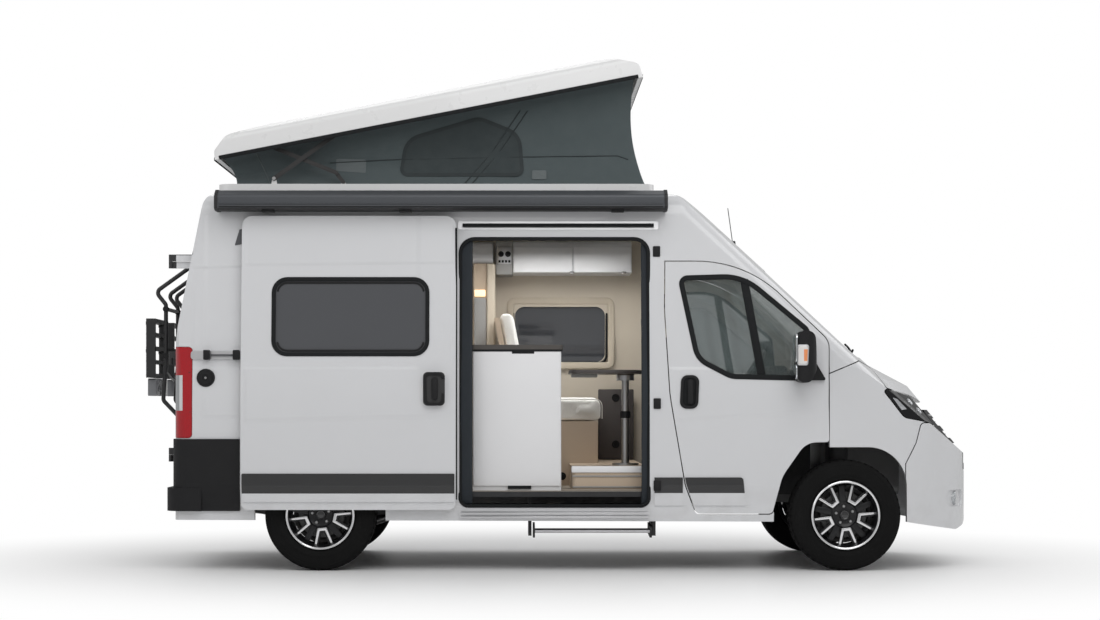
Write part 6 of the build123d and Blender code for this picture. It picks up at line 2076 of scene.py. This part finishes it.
@dataclass
class Lounge(Assembly):
    """Padded bench, table details, side panel, podium edge, window frame and floor mat."""

    seat: Padding = Padding(0.008, 4.0, 0.016)

    def build(self) -> None:
        """Builds the lounge's pieces."""
        cushion = Upholsterer.pad(self.nodes["cushions"], "bench_cushions", self.seat, 0.99)
        Upholsterer.press(cushion, ((1, 0.370),), 0.010, 0.010)
        self.put(cushion, SEAT_CLOTH, "van", "cushions", smooth=70)
        for i, y in enumerate((-0.046, 0.366, 0.374, 0.786)):
            self.put(Shop.tube(f"bench_piping_{i}", [
                (-0.182, y, 1.126), (0.262, y, 1.128), (0.290, y, 1.100), (0.290, y, 0.992),
            ], 0.0035, 0.02), SEAT_PIPING)
        self.table()
        self.panel()
        self.window_frame()
        self.partition()

    def table(self) -> None:
        """Bright edge, bracket, leg and collar of the table."""
        top = [(0.049, -0.782, 0.060), (0.539, -0.782, 0.230), (0.539, -0.198, 0.230), (0.049, -0.198, 0.060)]
        self.put(Shop.plate("table_edge", top, Axis.Z, (1.301, 1.322), 0.003, ring=0.010, steps=10), DARK_BOARD)
        self.put(Shop.block("table_leaf_seam", (0.052, -0.493, 1.3205), (0.536, -0.487, 1.3255), 0.001), SEAL_RUBBER)
        self.put(Shop.lathe("table_leg", [
            (0.0, 0.0), (0.026, 0.0), (0.026, 0.300), (0.029, 0.302), (0.029, 0.352), (0.025, 0.354), (0.025, 0.600),
            (0.0, 0.600),
        ], (0.431, -0.490, 0.690), 32, UP), PLAIN_STEEL)
        self.put(Shop.lathe("table_leg_clamp", [
            (0.0, 0.0), (0.034, 0.0), (0.036, 0.006), (0.036, 0.040), (0.030, 0.046), (0.0, 0.046),
        ], (0.431, -0.490, 1.000), 28, UP), MOULDED_BLACK)
        self.put(Shop.block("table_bracket", (0.062, -0.560, 1.276), (0.240, -0.420, 1.300), 0.006), CABIN_GREY)

    def panel(self) -> None:
        """Dark panel under the window with its sockets, the podium's white edge and the mat."""
        self.put(Shop.block("wall_panel", (0.296, 0.868, 0.684), (0.560, 0.905, 1.205), 0.008), DARK_BOARD)
        for i, z in enumerate((1.142, 0.796)):
            self.put(Shop.lathe(f"wall_socket_{i}", [
                (0.0, -0.002), (0.016, -0.002), (0.019, -0.007), (0.026, -0.008), (0.029, -0.004), (0.029, 0.004),
                (0.0, 0.004),
            ], (0.426, 0.866, z), 28), MOULDED_BLACK)
        self.put(Shop.block("podium_edge", (0.056, -0.872, 0.640), (0.562, -0.852, 0.684), 0.006), LAMINATE)
        for name, z in (("lower", 0.540), ("upper", 0.612)):
            strip = Shop.block(f"podium_strip_{name}", (0.062, -0.868, z), (0.556, -0.859, z + 0.010), 0.002)
            self.put(strip, CABIN_GREY)
        self.put(Shop.plate(
            "doorway_mat", box_rows((-0.010, 0.560), (-0.965, -0.862), 0.015), Axis.Z, (0.5245, 0.532), 0.002
        ), FLOOR_VINYL)
        self.put(Shop.plate(
            "floor_vinyl", box_rows((-2.380, -0.012), (-0.400, 0.700), 0.010), Axis.Z, (0.5242, 0.5265), 0.0005
        ), FLOOR_VINYL)
        self.put(Shop.lathe("bench_control", [
            (0.0, -0.010), (0.014, -0.010), (0.016, -0.004), (0.026, -0.003), (0.028, 0.002), (0.0, 0.002),
        ], (0.010, -0.061, 0.590), 24), MOULDED_BLACK)

    def window_frame(self) -> None:
        """Beige frame and black gasket of the left window."""
        rows = box_rows((-0.384, 0.419), (1.358, 1.890), 0.060)
        self.put(Shop.plate("window_surround", rows, Axis.Y, (0.915, 0.960), 0.008, ring=0.050, steps=8), CABIN_BEIGE)
        inner = box_rows((-0.345, 0.370), (1.392, 1.838), 0.070)
        self.put(
            Shop.plate("window_gasket", inner, Axis.Y, (0.930, 0.972), 0.003, ring=0.018, steps=8), MOULDED_BLACK
        )

    def partition(self) -> None:
        """Tall cupboard behind the bench with its post, light strip and the rounded rear locker."""
        self.put(Shop.plate(
            "cupboard_door", box_rows((-0.620, -0.532), (0.900, 1.870), 0.008), Axis.Y, (0.548, 0.561), 0.003
        ), CABIN_GREY)
        self.put(Shop.block("cupboard_post", (-0.528, 0.536, 1.000), (-0.466, 0.600, 2.120), 0.012, 3), CABIN_BEIGE)
        self.put(Shop.block("light_strip", (-0.618, 0.545, 1.878), (-0.538, 0.562, 1.928), 0.006, 3), WARM_LIGHT)
        self.put(Shop.plate("rear_locker", [
            (0.575, 2.124, 0.030), (0.905, 2.124, 0), (0.905, 2.284, 0), (0.625, 2.284, 0.070),
        ], Axis.X, (-1.000, -0.484), 0.004), LAMINATE)


@dataclass
class Bedroom(Assembly):
    """Padded mattress on the rear bed."""

    filling: Padding = Padding(0.014, 3.0, 0.020)

    def build(self) -> None:
        """Builds the mattress with its sewn channels."""
        mattress = Upholsterer.pad(self.nodes["mattress"], "bed_mattress", self.filling, 1.20)
        seams = tuple((0, -2.350 + 0.2142 * i) for i in range(1, 6)) + ((1, 0.0),)
        Upholsterer.press(mattress, seams, 0.009, 0.014)
        self.put(mattress, MATTRESS_CLOTH, "van", "mattress", smooth=70)
        for i, z in enumerate((1.203, 1.272)):
            rows = inset_rows(box_rows((-2.350, -1.065), (-0.865, 0.865), 0.030), 0.003)
            self.put(Shop.plate(
                f"mattress_piping_{i}", rows, Axis.Z, (z, z + 0.008), 0.003, ring=0.008, steps=4
            ), SEAT_PIPING)


@dataclass
class Cab(Assembly):
    """Padded cab seats with belts, the steering wheel and the dashboard's details."""

    filling: Padding = Padding(0.010, 3.5, 0.016)
    belt_y: float = 0.900
    webbing: float = 0.22              # a belt's thickness as a share of its width
    wheel_centre: Point = (1.382, 0.420, 1.310)
    wheel_rake: float = math.radians(60)
    wheel_radius: float = 0.188
    grip_radius: float = 0.015

    def build(self) -> None:
        """Builds the cab's pieces."""
        seats = Upholsterer.pad(self.nodes["cab_seats"], "cab_seat_pads", self.filling, 0.82)
        Upholsterer.press(seats, ((1, 0.320), (1, 0.600), (1, -0.320), (1, -0.600)), 0.012, 0.012)
        self.put(seats, CAB_CLOTH, "van", "cab_seats", smooth=70)
        for side, name in SIDES:
            self.put(Shop.block(
                f"seat_plinth_{name}", (0.768, side * 0.46 - 0.198, 0.524), (1.100, side * 0.46 + 0.198, 0.790),
                0.012,
            ), DASH_PLASTIC)
            belt = Shop.tube(f"belt_{name}", [
                (0.700, side * 0.900, 1.700), (0.720, side * 0.905, 1.150), (0.760, side * 0.880, 0.640),
            ], 0.010, 0.1)
            Shop.press_flat(belt, side * self.belt_y, self.webbing)
            self.put(belt, CAB_CLOTH)
        self.wheel()
        self.dash()

    def wheel(self) -> None:
        """Steering wheel: padded rim, three spokes and a plain hub pad."""
        centre = Vector(self.wheel_centre)
        way = Vector((-math.sin(self.wheel_rake), 0, math.cos(self.wheel_rake)))
        angles = [2 * math.pi * k / 12 for k in range(13)]
        r = self.grip_radius
        rim = [(self.wheel_radius + r * math.cos(a), r * math.sin(a)) for a in angles]
        piece = Shop.lathe("steering_rim", rim, tuple(centre), 64, tuple(way))
        hub = Shop.lathe("steering_hub", [
            (0.0, 0.026), (0.030, 0.026), (0.058, 0.016), (0.064, 0.0), (0.060, -0.024), (0.0, -0.030),
        ], tuple(centre), 40, tuple(way))
        self.put(piece, CAB_LEATHER, "van", "steering_wheel")
        self.put(hub, DASH_PLASTIC)
        across = Vector((0, 1, 0))
        down = way.cross(across)
        for i, spoke in enumerate((across, -across, down if down.z < 0 else -down)):
            start, end = centre + spoke * 0.045, centre + spoke * 0.182
            self.put(Shop.tube(f"steering_spoke_{i}", [tuple(start), tuple(end)], 0.014), DASH_PLASTIC)
        self.put(Shop.tube(
            "steering_column", [tuple(centre - way * 0.02), tuple(centre - way * 0.155)], 0.030, facets=6
        ), DASH_PLASTIC)

    def dash(self) -> None:
        """Air vents, screen, glove box line and gear lever of the dashboard."""
        for i, y in enumerate((-0.780, -0.230, 0.230, 0.780)):
            rows = [(0.0, 0.0), (0.034, 0.002), (0.040, 0.010), (0.048, 0.010), (0.050, -0.006), (0.0, -0.010)]
            self.put(Shop.lathe(f"air_vent_{i}", rows, (1.512, y, 1.245), 28, (-0.94, 0, 0.34)), GREY_PLASTIC)
        self.put(Shop.plate(
            "dash_screen", box_rows((-0.110, 0.110), (1.060, 1.190), 0.010), Axis.X, (1.466, 1.480), 0.003
        ), GLOSS_BLACK)
        self.put(Shop.plate(
            "glove_box_frame", box_rows((-0.780, -0.300), (1.060, 1.180), 0.015), Axis.X, (1.494, 1.506), 0.002,
            ring=0.006,
        ), GREY_PLASTIC)
        self.put(Shop.tube("gear_lever", [(1.440, 0.0, 1.120), (1.380, 0.0, 1.175)], 0.008), GREY_PLASTIC)
        self.put(Shop.lathe("gear_knob", [
            (0.0, -0.024), (0.014, -0.020), (0.024, 0.0), (0.022, 0.018), (0.0, 0.028),
        ], (1.375, 0.0, 1.182), 24, (-0.7, 0, 0.7)), CAB_LEATHER)


def dress_frame(frame: dict) -> None:
    """Gives every node of the frame its finish.

    Args:
        frame: The loaded frame, with its nodes by name.
    """
    for name, node in frame["nodes"].items():
        base = name
        for part in ("_front", "_rear", "_right", "_left"):
            if base not in NODE_FINISHES and part in base:
                base = base.replace(part, "")
        finish = NODE_FINISHES.get(name, NODE_FINISHES.get(base))
        node.data.materials.clear()
        node.data.materials.append(finish.material())
        LOG.info("node %s: %s", name, finish.name)


def main() -> None:
    """Builds the looks around the frame."""
    logging.basicConfig(level=logging.INFO, format="%(message)s")
    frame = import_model()
    Studio().build()
    dress_frame(frame)
    for kind in (
        Wheels, CabDoors, SlidingDoor, Bodyside, Nose, Tail, Racks, Awning, PopRoof, Tent, Kitchen, Lounge, Bedroom,
        Cab,
    ):
        start = time.time()
        kind(frame).build()
        LOG.info("%s built in %.1f s", kind.__name__, time.time() - start)


if __name__ == "__main__":
    main()
